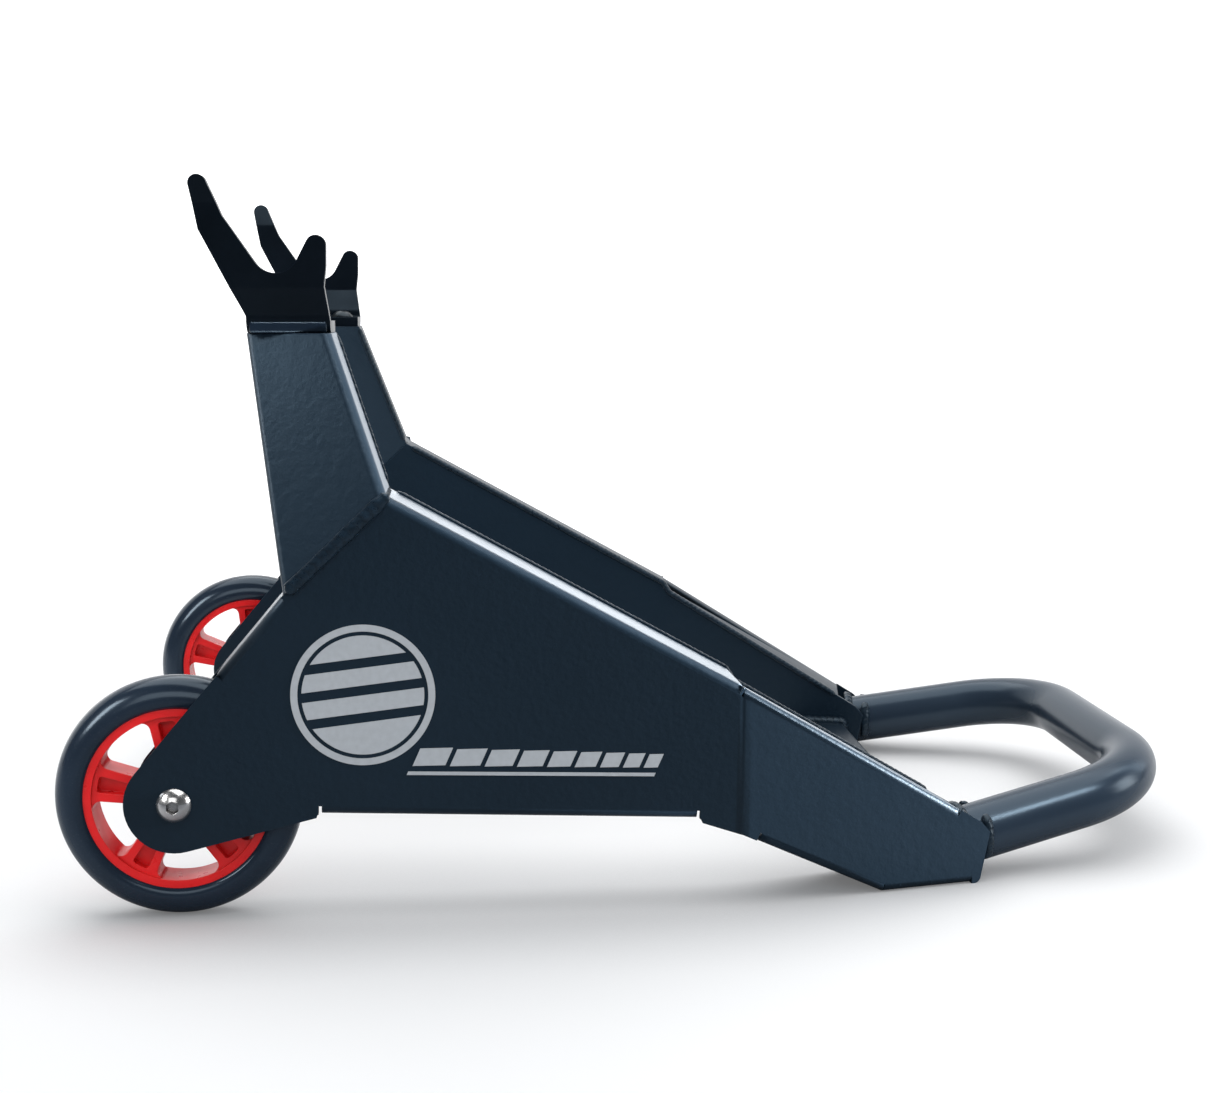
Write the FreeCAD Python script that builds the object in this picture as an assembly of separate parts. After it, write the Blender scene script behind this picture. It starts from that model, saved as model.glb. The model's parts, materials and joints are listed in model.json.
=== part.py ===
import FreeCAD, Part
import math
import os

# Rear paddock stand for a motorcycle, in millimetres, +Z up, +X towards the handle.
# The origin is on the floor under the middle of the stand.  The left half, at -Y, is
# modelled and the right half is its mirror image.

V = FreeCAD.Vector

# ---------------------------------------------------------------- driving dimensions
AXLE_X = -246.0            # wheel axle, behind the origin
WHEEL_RADIUS = 62.5        # 125 mm scooter-type wheel
WHEEL_WIDTH = 24.0
WHEEL_Y = 156.5            # middle of each wheel from the centre plane
SHEET = 3.0                # folded sheet steel
BOX_DEPTH = 40.0           # outside depth of the box-section arms
OUTER_Y = 176.5            # outer face of the arms
INNER_Y = OUTER_Y - BOX_DEPTH
BEND_OUT = 4.5             # outside radius of the folds
EYE_RADIUS = 25.0          # rounded end of the wheel plates
BEND_X = 288.0             # where the arms turn in, from the axle
BEND_ANGLE = 11.0
BEND_RADIUS = 40.0
RELIEF = 1.6               # gap left at the end of most folds
MITRE_GAP = 0.15           # from each top fold to the plane where the two meet
MITRE_HOLE = 3.0           # radius of the relief hole at that corner
PAST_MITRE = 15.0          # a mitred fold is made this much too long and then cut

MAST_TOP_Z = 296.0
MAST_TOP_Y = 140.0         # outer front corner of the mast top
MAST_TOP_FRONT_X = 80.4
MAST_TOP_REAR_X = 36.3
MAST_TWIST = (0.7, 37.0, -1.7)   # where the mast front runs from its outer to its inner edge
CAP_SHEET = 4.0

FORK_PLATE = 6.0
FORK_Y = 133.0             # outer face of the fork at its foot
SADDLE_RADIUS = 12.0
FORK_FOOT = 33.0           # how far the foot of the fork reaches inwards
FORK_BEND = 3.9            # middle radius of its folds
FORK_SCREWS_X = (50.0, 69.0)
FORK_SCREWS_Y = -FORK_Y + 21.0
SCREW_RADIUS = 3.95        # M8
SCREW_HOLE = 4.2
SADDLE_X = 53.3            # saddle centre, from the axle
SADDLE_Z = 338.2

TUBE_RADIUS = 15.9
TUBE_WALL = 2.0
TUBE_CLEARANCE = 0.05      # round the tube where the arm is cut to let it in
HANDLE_END_X = 538.5       # centre line of the cross bar, from the axle
HANDLE_END_Z = 43.0
HANDLE_BEND = 65.0
HANDLE_TOE = 13.0
HANDLE_START_Z = 19.2      # height of its centre line at the arm end
END_PLATE_X = 409.0        # front face of the arm end plate, from the axle

CROSS_FRONT_X = 407.0
CROSS_WIDTH = 40.0
CROSS_HEIGHT = 20.0
CROSS_TOP_Z = 23.0
CROSS_WALL = 2.0
CROSS_CORNER = 3.0

RIM_RADIUS = 46.9
RIM_HALF = 9.5
RIM_INSIDE = 42.8
RIDGE_RADIUS = 49.5         # ridge that keys the tyre to the hub
RIDGE_HALF = 4.0
BOSS_RADIUS = 17.0
BOSS_HALF = 12.0
SPOKE_HALF = 8.0
TYRE_HALF = 11.6           # where the tread starts to round
BEARING_RADIUS = 13.0
BEARING_WIDTH = 8.0
BEARING_GAP = 4.0          # from the wheel middle to each bearing

BOLT_RADIUS = 4.95         # M10 axle bolt
BORE_RADIUS = 5.0
BALL_RADIUS = 2.38
BALL_COUNT = 7
PITCH_RADIUS = 9.1
RUNNING_GAP = 0.02
SPOKES = 5
SPACER_RADIUS = 7.4
FILM = 0.2                 # printed film on the arms
BADGE = (95.0, 117.0)      # middle of the round badge, from the axle
BARS = (119.0, 80.0)       # lower left corner of the first slanted bar
BAR_COUNT = 9
BAR_WIDTH = 16.5
BIG = 900.0                # larger than the whole stand

TOE = math.tan(math.radians(BEND_ANGLE))
COS_BEND = math.cos(math.radians(BEND_ANGLE))


# ---------------------------------------------------------------- small geometry helpers
def from_axle(x, y, z):
    return V(x + AXLE_X, y, z)


def unit(x, z):
    length = math.hypot(x, z)
    return (x / length, z / length)


def polygon_face(points):
    return Part.Face(Part.makePolygon(points + [points[0]]))


def outline_prism(points, y0, y1):
    """A flat outline given as (x, z) from the axle, extruded along Y."""
    face = polygon_face([from_axle(x, y0, z) for x, z in points])
    return face.extrude(V(0, y1 - y0, 0))


def rod(x, y, z, radius, length, axis=V(0, 1, 0)):
    return Part.makeCylinder(radius, length, from_axle(x, y, z), axis)


def ring(y, outer, inner, length):
    """A ring about the wheel axle, starting at y."""
    centre = WHEEL_RADIUS
    return rod(0, y, centre, outer, length).cut(rod(0, y, centre, inner, length))


def side_of_plane(point, outward):
    """A large box on the inner side of a plane."""
    box = Part.makeBox(BIG, BIG, BIG, V(-BIG / 2, -BIG / 2, -BIG))
    box.Placement = FreeCAD.Placement(point, FreeCAD.Rotation(V(0, 0, 1), outward))
    return box


def plane_normal(a, b, c, away_from):
    normal = (b - a).cross(c - a)
    normal.normalize()
    if normal.dot(away_from - a) > 0:
        normal = normal * -1
    return normal


def mirrored(shape):
    return shape.mirror(V(0, 0, 0), V(0, 1, 0))


def hexagon(x, y, z, across_flats, length):
    """A hexagonal prism along +Y from y."""
    radius = across_flats / math.sqrt(3)
    corners = []
    for k in range(6):
        angle = math.radians(60 * k + 30)
        corners.append(from_axle(x + radius * math.cos(angle), y, z + radius * math.sin(angle)))
    return polygon_face(corners).extrude(V(0, length, 0))


# ---------------------------------------------------------------- sheet metal
def fold_profile(at, depth):
    """The section of a fold and its flange; at maps (along the plate, inwards) to a point."""
    inner = BEND_OUT - SHEET
    q = math.sqrt(0.5)
    outer_middle = BEND_OUT * (1 - q)
    inner_middle = BEND_OUT - inner * q
    edges = [
        Part.Arc(at(BEND_OUT, 0), at(outer_middle, outer_middle), at(0, BEND_OUT)).toShape(),
        Part.makeLine(at(0, BEND_OUT), at(0, depth)),
        Part.makeLine(at(0, depth), at(SHEET, depth)),
        Part.makeLine(at(SHEET, depth), at(SHEET, BEND_OUT)),
        Part.Arc(at(SHEET, BEND_OUT), at(inner_middle, inner_middle), at(BEND_OUT, SHEET)).toShape(),
        Part.makeLine(at(BEND_OUT, SHEET), at(BEND_OUT, 0)),
    ]
    return Part.Face(Part.Wire(edges))


def fold(plate, start, end, depth, inward_side, relief=(RELIEF, RELIEF), past=(0, 0), keep=None):
    """Fold a flange from a plate whose outer face is at Y = -OUTER_Y.

    start and end are (x, z) from the axle along the outside of the fold, the plate
    lies on the left of start->end when inward_side is 1 and on its right when it is -1.
    relief is the gap left at the start and at the end.  The flange runs past its start
    and its end by past, and is then cut down to what lies inside keep."""
    u = unit(end[0] - start[0], end[1] - start[1])
    n = (-u[1] * inward_side, u[0] * inward_side)
    along = V(u[0], 0, u[1])
    length = math.hypot(end[0] - start[0], end[1] - start[1])

    def at(a, d):
        return from_axle(start[0] + n[0] * a, -OUTER_Y + d, start[1] + n[1] * a)

    def edge_point(corner, run, a):
        return (corner[0] + u[0] * run + n[0] * a, corner[1] + u[1] * run + n[1] * a)

    profile = fold_profile(at, depth)
    profile.translate(along * -past[0])
    flange = profile.extrude(along * (length + past[0] + past[1]))
    if keep is not None:
        flange = flange.common(keep)
    corners = [
        edge_point(start, -relief[0], -20),
        edge_point(end, relief[1], -20),
        edge_point(end, relief[1], BEND_OUT),
        edge_point(start, -relief[0], BEND_OUT),
    ]
    band = outline_prism(corners, -OUTER_Y - 1, -OUTER_Y + SHEET + 1)
    return plate.cut(band).fuse(flange)


def turned_in(shape):
    """Swing the front part of the arm inwards about the bend line."""
    turned = shape.copy()
    turned.rotate(from_axle(BEND_X, -OUTER_Y, 0), V(0, 0, 1), BEND_ANGLE)
    return turned


# Corners of the arm outline, as (x, z) from the axle.
REAR_SLOPE = unit(33.0, 39.1)
REAR_TANGENT = (-EYE_RADIUS * REAR_SLOPE[1], WHEEL_RADIUS + EYE_RADIUS * REAR_SLOPE[0])
BELLY_SLOPE = unit(48.0, 11.0)
BELLY_TANGENT = (EYE_RADIUS * BELLY_SLOPE[1], WHEEL_RADIUS - EYE_RADIUS * BELLY_SLOPE[0])
MAST_REAR = (56.5, 167.8)
KINK = (108.4, 217.0)
TOP_BEND = (BEND_X, 117.0)
TOP_END = (423.0, 34.0)
NOSE = (428.0, 28.0)
FOOT_FRONT = (422.5, 0.0)
FOOT_CORNER = 4.0          # radius of the foot's front corner
FOOT_REAR = (367.0, 0.0)
LOW_BEND = (BEND_X, 39.0)
BELLY_FRONT = (266.0, 48.1)
BELLY_STEP = (267.0, 46.0)
PAST_BEND = 10.0           # both halves of the outline run past the bend and meet in a mitre
BELLY_REAR = (73.0, 55.6)
BELLY_DROP = (70.4, 54.0)


def rear_line(x):
    return WHEEL_RADIUS + EYE_RADIUS / REAR_SLOPE[0] + x * REAR_SLOPE[1] / REAR_SLOPE[0]


def top_line(x):
    slope = (TOP_END[1] - TOP_BEND[1]) / (TOP_END[0] - TOP_BEND[0])
    return TOP_BEND[1] + (x - BEND_X) * slope


def rear_outline():
    """The arm outline behind the bend line, with a true arc round the axle."""
    def p(point):
        return from_axle(point[0], -OUTER_Y, point[1])

    mid = p((-EYE_RADIUS * math.cos(0.35), WHEEL_RADIUS - EYE_RADIUS * math.sin(0.35)))
    low_slope = (LOW_BEND[1] - BELLY_STEP[1]) / (LOW_BEND[0] - BELLY_STEP[0])
    top_slope = (TOP_BEND[1] - KINK[1]) / (TOP_BEND[0] - KINK[0])
    low_past = (BEND_X + PAST_BEND, LOW_BEND[1] + PAST_BEND * low_slope)
    top_past = (BEND_X + PAST_BEND, TOP_BEND[1] + PAST_BEND * top_slope)
    corners = [BELLY_TANGENT, BELLY_DROP, (BELLY_REAR[0] - 2, BELLY_REAR[1]), BELLY_FRONT,
               BELLY_STEP, low_past, top_past, KINK, MAST_REAR, REAR_TANGENT]
    edges = [Part.makeLine(p(a), p(b)) for a, b in zip(corners[:-1], corners[1:])]
    edges.append(Part.Arc(p(REAR_TANGENT), mid, p(BELLY_TANGENT)).toShape())
    return Part.Face(Part.Wire(edges))


def flat_x(x):
    return BEND_X + (x - BEND_X) / COS_BEND


def front_points():
    """The arm outline in front of the bend line, laid flat."""
    x = BEND_X - PAST_BEND
    drop = (FOOT_REAR[1] - LOW_BEND[1]) / (FOOT_REAR[0] - BEND_X)
    points = [(x, LOW_BEND[1] - PAST_BEND * drop)]
    points += [(flat_x(a), z) for a, z in (FOOT_REAR, FOOT_FRONT, NOSE, TOP_END)]
    return points + [(x, top_line(x))]


def bend_mitre(forward, gap=0.0):
    """Everything behind (or in front of) the mitre plane through the bend line."""
    half_turn = math.radians(BEND_ANGLE / 2) * forward
    meet = from_axle(BEND_X - gap * forward, -OUTER_Y, 0)
    return side_of_plane(meet, V(forward * math.cos(half_turn), math.sin(half_turn), 0))


def top_mitre(forward):
    """Where the top fold behind (or in front of) the bend line may lie."""
    hole = rod(BEND_X, -OUTER_Y - 10, top_line(BEND_X), MITRE_HOLE, 14.0)
    return bend_mitre(forward, MITRE_GAP).cut(hole)


def foot_mitre(forward, low_start, foot_rear):
    """Where the low fold behind the foot (or the fold of the foot itself) may lie."""
    low = unit(foot_rear[0] - low_start[0], foot_rear[1] - low_start[1])
    return side_of_plane(from_axle(foot_rear[0], 0, foot_rear[1]), V(low[0] + 1, 0, low[1]) * forward)


def bent_strip():
    """The sheet seen from above, turning in at the bend line, as a tall wall."""
    half = math.radians(BEND_ANGLE) / 2
    run = BEND_RADIUS * math.tan(half)
    cx, cy = BEND_X - run, -OUTER_Y + BEND_RADIUS
    full = math.radians(BEND_ANGLE)

    def on(radius, angle):
        return from_axle(cx + radius * math.sin(angle), cy - radius * math.cos(angle), 0)

    def far(radius):
        p = on(radius, full)
        return p + V(math.cos(full), math.sin(full), 0) * 200

    inner = BEND_RADIUS - SHEET
    start_out = from_axle(-60, -OUTER_Y, 0)
    start_in = from_axle(-60, -OUTER_Y + SHEET, 0)
    edges = [
        Part.makeLine(start_out, on(BEND_RADIUS, 0)),
        Part.Arc(on(BEND_RADIUS, 0), on(BEND_RADIUS, half), on(BEND_RADIUS, full)).toShape(),
        Part.makeLine(on(BEND_RADIUS, full), far(BEND_RADIUS)),
        Part.makeLine(far(BEND_RADIUS), far(inner)),
        Part.makeLine(far(inner), on(inner, full)),
        Part.Arc(on(inner, full), on(inner, half), on(inner, 0)).toShape(),
        Part.makeLine(on(inner, 0), start_in),
        Part.makeLine(start_in, start_out),
    ]
    return Part.Face(Part.Wire(edges)).extrude(V(0, 0, 320))


def is_toe(edge):
    """True for the edge along Y at the front corner of the foot."""
    middle = edge.valueAt((edge.FirstParameter + edge.LastParameter) / 2)
    corner = from_axle(flat_x(FOOT_FRONT[0]), middle.y, 0)
    return (middle - corner).Length < 0.01


def arm_plate(set_in):
    """One bent side plate of the arm, without folds, with the axle hole."""
    rear = rear_outline().extrude(V(0, 120, 0))
    rear.translate(V(0, -20, 0))
    front = outline_prism(front_points(), -OUTER_Y - 20, -OUTER_Y + 100)
    toe = [edge for edge in front.Edges if is_toe(edge)]
    front = turned_in(front.makeFillet(FOOT_CORNER, toe))
    strip = bent_strip()
    strip.translate(V(0, set_in, 0))
    plate = strip.common(rear).common(bend_mitre(1)).fuse(strip.common(front).common(bend_mitre(-1)))
    plate = plate.removeSplitter()
    return plate.cut(rod(0, -OUTER_Y - 5, WHEEL_RADIUS, BORE_RADIUS + 0.1, 60))


def arm_shell():
    """The outer plate with its top, rear, bottom and foot flanges."""
    plate = arm_plate(0.0)
    depth = BOX_DEPTH - SHEET
    rear_start = (23.0, rear_line(23.0))
    rear_end = (55.5, rear_line(55.5))
    plate = fold(plate, rear_start, rear_end, depth, -1, (0.3, 0.0))
    slope = (TOP_BEND[1] - KINK[1]) / (TOP_BEND[0] - KINK[0])
    top_end = (BEND_X - 2.0, TOP_BEND[1] - 2.0 * slope)
    plate = fold(plate, KINK, top_end, depth, -1, (0.0, RELIEF), (0, PAST_MITRE), top_mitre(1))
    plate = fold(plate, BELLY_REAR, (BELLY_FRONT[0] - 2, BELLY_FRONT[1] + 0.08), depth, 1)
    return turned_in_folds(plate, depth * COS_BEND).removeSplitter()


def turned_in_folds(plate, depth):
    """Add the folds of the turned-in front part, made flat and then swung in."""
    flat = plate.copy()
    flat.rotate(from_axle(BEND_X, -OUTER_Y, 0), V(0, 0, 1), -BEND_ANGLE)
    top_start = (flat_x(BEND_X + 2.0), top_line(BEND_X + 2.0))
    top_end = (flat_x(END_PLATE_X + 2), top_line(END_PLATE_X + 2))
    flat = fold(flat, top_start, top_end, depth, -1, (RELIEF, 0.0), (PAST_MITRE, 0), top_mitre(-1))
    drop = (FOOT_REAR[1] - LOW_BEND[1]) / (FOOT_REAR[0] - LOW_BEND[0])
    low_start = (flat_x(BEND_X + 9), LOW_BEND[1] + 9 * drop)
    foot_rear = (flat_x(FOOT_REAR[0]), 0.0)
    foot_end = (flat_x(FOOT_FRONT[0]) - FOOT_CORNER - 0.5, 0.0)
    low_mitre = foot_mitre(1, low_start, foot_rear)
    flat = fold(flat, low_start, foot_rear, depth, 1, (RELIEF, 0.0), (0, PAST_MITRE), low_mitre)
    toe_mitre = foot_mitre(-1, low_start, foot_rear)
    flat = fold(flat, foot_rear, foot_end, depth, 1, (0.0, 0.0), (PAST_MITRE, 0), toe_mitre)
    return turned_in(flat)


def arm_inner_plate():
    return arm_plate(BOX_DEPTH - SHEET)


def arm_end_plate():
    """The small plate that closes the arm where the handle tube butts on."""
    x0 = flat_x(END_PLATE_X) - SHEET
    x1 = flat_x(END_PLATE_X)
    top = top_line(END_PLATE_X) - SHEET / 0.85 - 0.2
    points = [(x0, SHEET), (x1, SHEET), (x1, top), (x0, top + 1.6)]
    plate = outline_prism(points, -OUTER_Y + BEND_OUT, -OUTER_Y + (BOX_DEPTH - SHEET) * COS_BEND)
    return turned_in(plate)


# ---------------------------------------------------------------- mast
MAST_LOW_REAR = from_axle(MAST_REAR[0], -OUTER_Y, MAST_REAR[1])
MAST_LOW_FRONT = from_axle(KINK[0], -OUTER_Y, KINK[1])
MAST_HIGH_FRONT = from_axle(MAST_TOP_FRONT_X, -MAST_TOP_Y, MAST_TOP_Z)
MAST_LOW_INNER = MAST_LOW_REAR + V(0, BOX_DEPTH, 0)


def mast_normals():
    """The outward normals of the mast's faces."""
    inside = from_axle(75, -OUTER_Y + 30, 240)
    outer = plane_normal(MAST_LOW_REAR, MAST_LOW_FRONT, MAST_HIGH_FRONT, inside)
    front_inner = MAST_LOW_FRONT + V(*MAST_TWIST)
    high_rear = from_axle(MAST_TOP_REAR_X, 0, MAST_TOP_Z)
    high_rear.y = MAST_HIGH_FRONT.y - outer.x * (high_rear.x - MAST_HIGH_FRONT.x) / outer.y
    rear_inner = MAST_LOW_REAR + V(0, 1, 0)
    return {
        "outer": outer,
        "front": plane_normal(MAST_LOW_FRONT, MAST_HIGH_FRONT, front_inner, inside),
        "rear": plane_normal(MAST_LOW_REAR, high_rear, rear_inner, inside),
        "foot": plane_normal(MAST_LOW_REAR, MAST_LOW_FRONT, rear_inner, inside),
    }


def mast_solid(inset, inner_inset, below=0.0):
    """The leaning mast between its planes, moved in by inset, running on by below."""
    normals = mast_normals()
    outer = normals["outer"]
    solid = side_of_plane(MAST_LOW_REAR - outer * inset, outer)
    solid = solid.common(side_of_plane(MAST_LOW_FRONT - normals["front"] * inset, normals["front"]))
    solid = solid.common(side_of_plane(MAST_LOW_REAR - normals["rear"] * inset, normals["rear"]))
    solid = solid.common(side_of_plane(MAST_LOW_INNER + outer * inner_inset, outer * -1))
    return solid.common(side_of_plane(MAST_LOW_REAR + normals["foot"] * below, normals["foot"]))


def outer_edges(solid, inset):
    """The two long edges of the mast's outer face."""
    normals = mast_normals()
    outer = normals["outer"]
    found = []
    for edge in solid.Edges:
        direction = edge.tangentAt(edge.FirstParameter)
        middle = edge.valueAt((edge.FirstParameter + edge.LastParameter) / 2)
        height = (middle - MAST_LOW_REAR).dot(outer) + inset
        on_outer = abs(height) < 1e-4 and abs(direction.dot(outer)) < 1e-6
        if on_outer and min(abs(direction.dot(normals[side])) for side in ("front", "rear")) < 1e-6:
            found.append(edge)
    return found


def mast_block(inset, inner_inset, radius, below, top_z):
    """The mast with its two long outer edges rounded."""
    solid = mast_solid(inset, inner_inset, below).common(side_of_plane(V(0, 0, top_z), V(0, 0, 1)))
    return solid.makeFillet(radius, outer_edges(solid, inset))


def mast_shell():
    """Outer, front and rear walls of the mast, open towards the centre."""
    outside = mast_block(0.0, SHEET, BEND_OUT, 0.0, MAST_TOP_Z)
    hollow = mast_block(SHEET, -20.0, BEND_OUT - SHEET, 30.0, MAST_TOP_Z + 20)
    return outside.cut(hollow)


def mast_inner_plate():
    outer = mast_normals()["outer"]
    plate = mast_solid(0.0, 0.0).common(side_of_plane(V(0, 0, MAST_TOP_Z), V(0, 0, 1)))
    return plate.common(side_of_plane(MAST_LOW_INNER + outer * SHEET, outer))


def fork_holes(z0, height, radius):
    """Two upright rods at the fork screws."""
    rods = [rod(x, FORK_SCREWS_Y, z0, radius, height, V(0, 0, 1)) for x in FORK_SCREWS_X]
    return rods[0].fuse(rods[1])


def mast_cap():
    """The plate in the top of the mast that carries the fork."""
    block = mast_block(SHEET, SHEET, BEND_OUT - SHEET, 0.0, MAST_TOP_Z)
    slab = Part.makeBox(BIG, BIG, CAP_SHEET, V(-BIG / 2, -BIG / 2, MAST_TOP_Z - CAP_SHEET))
    return block.common(slab).cut(fork_holes(MAST_TOP_Z - 20, 40, SCREW_HOLE))


# ---------------------------------------------------------------- fork
def offset_side(points, offset, radius):
    """Edges of one side of a bent strip; points is its middle line in the YZ plane."""
    first = (points[1] - points[0]).normalize()
    here = points[0] + V(0, -first.z, first.y) * offset
    edges = []
    for before, corner, after in zip(points[:-2], points[1:-1], points[2:]):
        u = (corner - before).normalize()
        w = (after - corner).normalize()
        turn = math.atan2(u.y * w.z - u.z * w.y, u.dot(w))
        side = math.copysign(1.0, turn)
        across_u = V(0, -u.z, u.y) * side
        across_w = V(0, -w.z, w.y) * side
        centre = corner - u * (radius * math.tan(abs(turn) / 2)) + across_u * radius
        reach = radius - side * offset
        middle = centre - (across_u + across_w).normalize() * reach
        edges.append(Part.makeLine(here, centre - across_u * reach))
        here = centre - across_w * reach
        edges.append(Part.Arc(centre - across_u * reach, middle, here).toShape())
    last = (points[-1] - points[-2]).normalize()
    end = points[-1] + V(0, -last.z, last.y) * offset
    edges.append(Part.makeLine(here, end))
    return edges


def bent_section(points, radius, thickness):
    """The closed section of a bent strip; points are its middle line, (y, z)."""
    line = [V(0, y, z) for y, z in points]
    left = offset_side(line, thickness / 2, radius)
    right = offset_side(line, -thickness / 2, radius)
    start = Part.makeLine(left[0].Vertexes[0].Point, right[0].Vertexes[0].Point)
    end = Part.makeLine(left[-1].Vertexes[1].Point, right[-1].Vertexes[1].Point)
    return Part.Face(Part.Wire(Part.__sortEdges__(left + right + [start, end])))


def chain(points):
    """Straight edges from each point to the next."""
    return [Part.makeLine(a, b) for a, b in zip(points[:-1], points[1:])]


def fork_outline():
    """Tall rear finger, round saddle and short front finger, down to the foot."""
    def p(x, z):
        return from_axle(x, -220, z)

    down = unit(16.9, -25.1)
    up = unit(6.3, 10.7)
    saddle_start = p(SADDLE_X + SADDLE_RADIUS * down[1], SADDLE_Z - SADDLE_RADIUS * down[0])
    saddle_low = p(SADDLE_X, SADDLE_Z - SADDLE_RADIUS)
    saddle_end = p(SADDLE_X + SADDLE_RADIUS * up[1], SADDLE_Z - SADDLE_RADIUS * up[0])
    foot_rear = [p(37.5, 290), p(37.5, 304.5), p(35.6, 308.6), p(15.6, 347.8), p(11.7, 369.4)]
    foot_front = [p(78.8, 340.0), p(78.6, 329.5), p(77.4, 319.6), p(79.8, 302.0), p(79.8, 290)]
    edges = chain(foot_rear)
    edges.append(Part.Arc(foot_rear[-1], p(16.7, 374.6), p(20.6, 371.2)).toShape())
    edges += chain([p(20.6, 371.2), p(27.6, 354.6), saddle_start])
    edges.append(Part.Arc(saddle_start, saddle_low, saddle_end).toShape())
    edges += chain([saddle_end, p(69.1, 342.4)])
    edges.append(Part.Arc(p(69.1, 342.4), p(73.9, 345.2), foot_front[0]).toShape())
    edges += chain(foot_front + [foot_rear[0]])
    return Part.Face(Part.Wire(edges)).extrude(V(0, 160, 0))


def fork():
    """A 6 mm plate: foot folded in, set out above the foot, tip flared out."""
    y = -FORK_Y + FORK_PLATE / 2
    z = MAST_TOP_Z + FORK_PLATE / 2
    middle_line = [
        (-FORK_Y + FORK_FOOT, z),
        (y, z),
        (y, z + 6.5),
        (y - 4.5, z + 20.0),
        (y - 4.5, z + 62.0),
        (y - 8.5, z + 80.0),
    ]
    strip = bent_section(middle_line, FORK_BEND, FORK_PLATE).extrude(V(110, 0, 0))
    strip.translate(V(AXLE_X - 10, 0, 0))
    holes = fork_holes(MAST_TOP_Z - 10, 30, SCREW_HOLE)
    return strip.common(fork_outline()).cut(holes).removeSplitter()


def fork_screws():
    """Two button-head M8 screws down through the foot."""
    up = V(0, 0, 1)
    top = MAST_TOP_Z + FORK_PLATE
    screws = []
    for x in FORK_SCREWS_X:
        shank = rod(x, FORK_SCREWS_Y, top - 20, SCREW_RADIUS, 20, up)
        head = Part.makeSphere(7.8, from_axle(x, FORK_SCREWS_Y, top - 3.4))
        head = head.common(rod(x, FORK_SCREWS_Y, top, 7.0, 4.4, up))
        socket = rod(x, FORK_SCREWS_Y, top + 1.6, 2.6, 5, up)
        screws.append(shank.fuse(head).cut(socket))
    return Part.makeCompound(screws)


def fork_nuts():
    """Two weld nuts under the mast cap."""
    height = 6.5
    z = MAST_TOP_Z - CAP_SHEET - height
    nuts = []
    for x in FORK_SCREWS_X:
        centre = from_axle(x, FORK_SCREWS_Y, z)
        corners = []
        for k in range(6):
            angle = math.radians(60 * k)
            corners.append(centre + V(7.5 * math.cos(angle), 7.5 * math.sin(angle), 0))
        nut = polygon_face(corners).extrude(V(0, 0, height))
        bore = rod(x, FORK_SCREWS_Y, z - 5, SCREW_RADIUS + 0.05, 20, V(0, 0, 1))
        nuts.append(nut.cut(bore))
    return Part.makeCompound(nuts)


# ---------------------------------------------------------------- handle and cross member
def handle_centre_line():
    """The U of the handle as a wire, with its start and the direction back from it."""
    arm_middle = OUTER_Y - TOE * (END_PLATE_X - BEND_X) - BOX_DEPTH / 2
    start_x = END_PLATE_X - 12
    rise = (HANDLE_END_Z - HANDLE_START_Z) / (HANDLE_END_X - END_PLATE_X - 3)
    start_z = HANDLE_START_Z + (start_x - END_PLATE_X - 3) * rise
    spread = math.tan(math.radians(HANDLE_TOE))
    start_y = arm_middle + (END_PLATE_X - start_x) * spread
    corner_y = arm_middle - (HANDLE_END_X - END_PLATE_X) * spread
    start = from_axle(start_x, -start_y, start_z)
    corner = from_axle(HANDLE_END_X, -corner_y, HANDLE_END_Z)
    back = (start - corner).normalize()
    across = V(0, 1, 0)
    half = math.acos(back.dot(across)) / 2
    bend_in = corner + back * (HANDLE_BEND / math.tan(half))
    bend_out = corner + across * (HANDLE_BEND / math.tan(half))
    inwards = (back + across).normalize()
    bend_middle = corner + inwards * (HANDLE_BEND / math.sin(half) - HANDLE_BEND)

    def over(point):
        return V(point.x, -point.y, point.z)

    edges = [
        Part.makeLine(start, bend_in),
        Part.Arc(bend_in, bend_middle, bend_out).toShape(),
        Part.makeLine(bend_out, over(bend_out)),
        Part.Arc(over(bend_out), over(bend_middle), over(bend_in)).toShape(),
        Part.makeLine(over(bend_in), over(start)),
    ]
    return Part.Wire(edges), start, back


def arm_forward():
    """The direction of the turned-in front part of the left arm."""
    angle = math.radians(BEND_ANGLE)
    return V(math.cos(angle), math.sin(angle), 0)


def end_plate_point():
    """A point on the front face of the left arm end plate."""
    return from_axle(BEND_X, -OUTER_Y, 0) + arm_forward() * (flat_x(END_PLATE_X) - BEND_X)


def beyond_end_plate():
    """Everything in front of the left arm end plate."""
    return side_of_plane(end_plate_point(), arm_forward() * -1)


def handle_rod(radius):
    wire, start, back = handle_centre_line()
    profile = Part.Wire(Part.makeCircle(radius, start, back))
    return wire.makePipeShell([profile], True, True)


def handle_tube():
    """The U tube, cut off square on the end plates of both arms."""
    tube = handle_rod(TUBE_RADIUS).cut(handle_rod(TUBE_RADIUS - TUBE_WALL))
    near = tube.common(side_of_plane(V(0, 0, 0), V(0, 1, 0))).common(beyond_end_plate())
    return near.fuse(mirrored(near)).removeSplitter()


def inner_face_side():
    """Everything on the centre side of the left inner plate's free face."""
    forward = arm_forward()
    bend = from_axle(BEND_X, -INNER_Y - SHEET + SHEET / COS_BEND, 0)
    return side_of_plane(bend, V(forward.y, -forward.x, 0))


def cross_bar(inset):
    """The outside of the cross member, or its hollow when inset is the wall."""
    corner = from_axle(CROSS_FRONT_X - CROSS_WIDTH + inset, -150, CROSS_TOP_Z - CROSS_HEIGHT + inset)
    box = Part.makeBox(CROSS_WIDTH - 2 * inset, 300, CROSS_HEIGHT - 2 * inset, corner)
    along = [edge for edge in box.Edges if edge.Length > 200]
    return box.makeFillet(CROSS_CORNER - 0.9 * inset, along)


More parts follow.
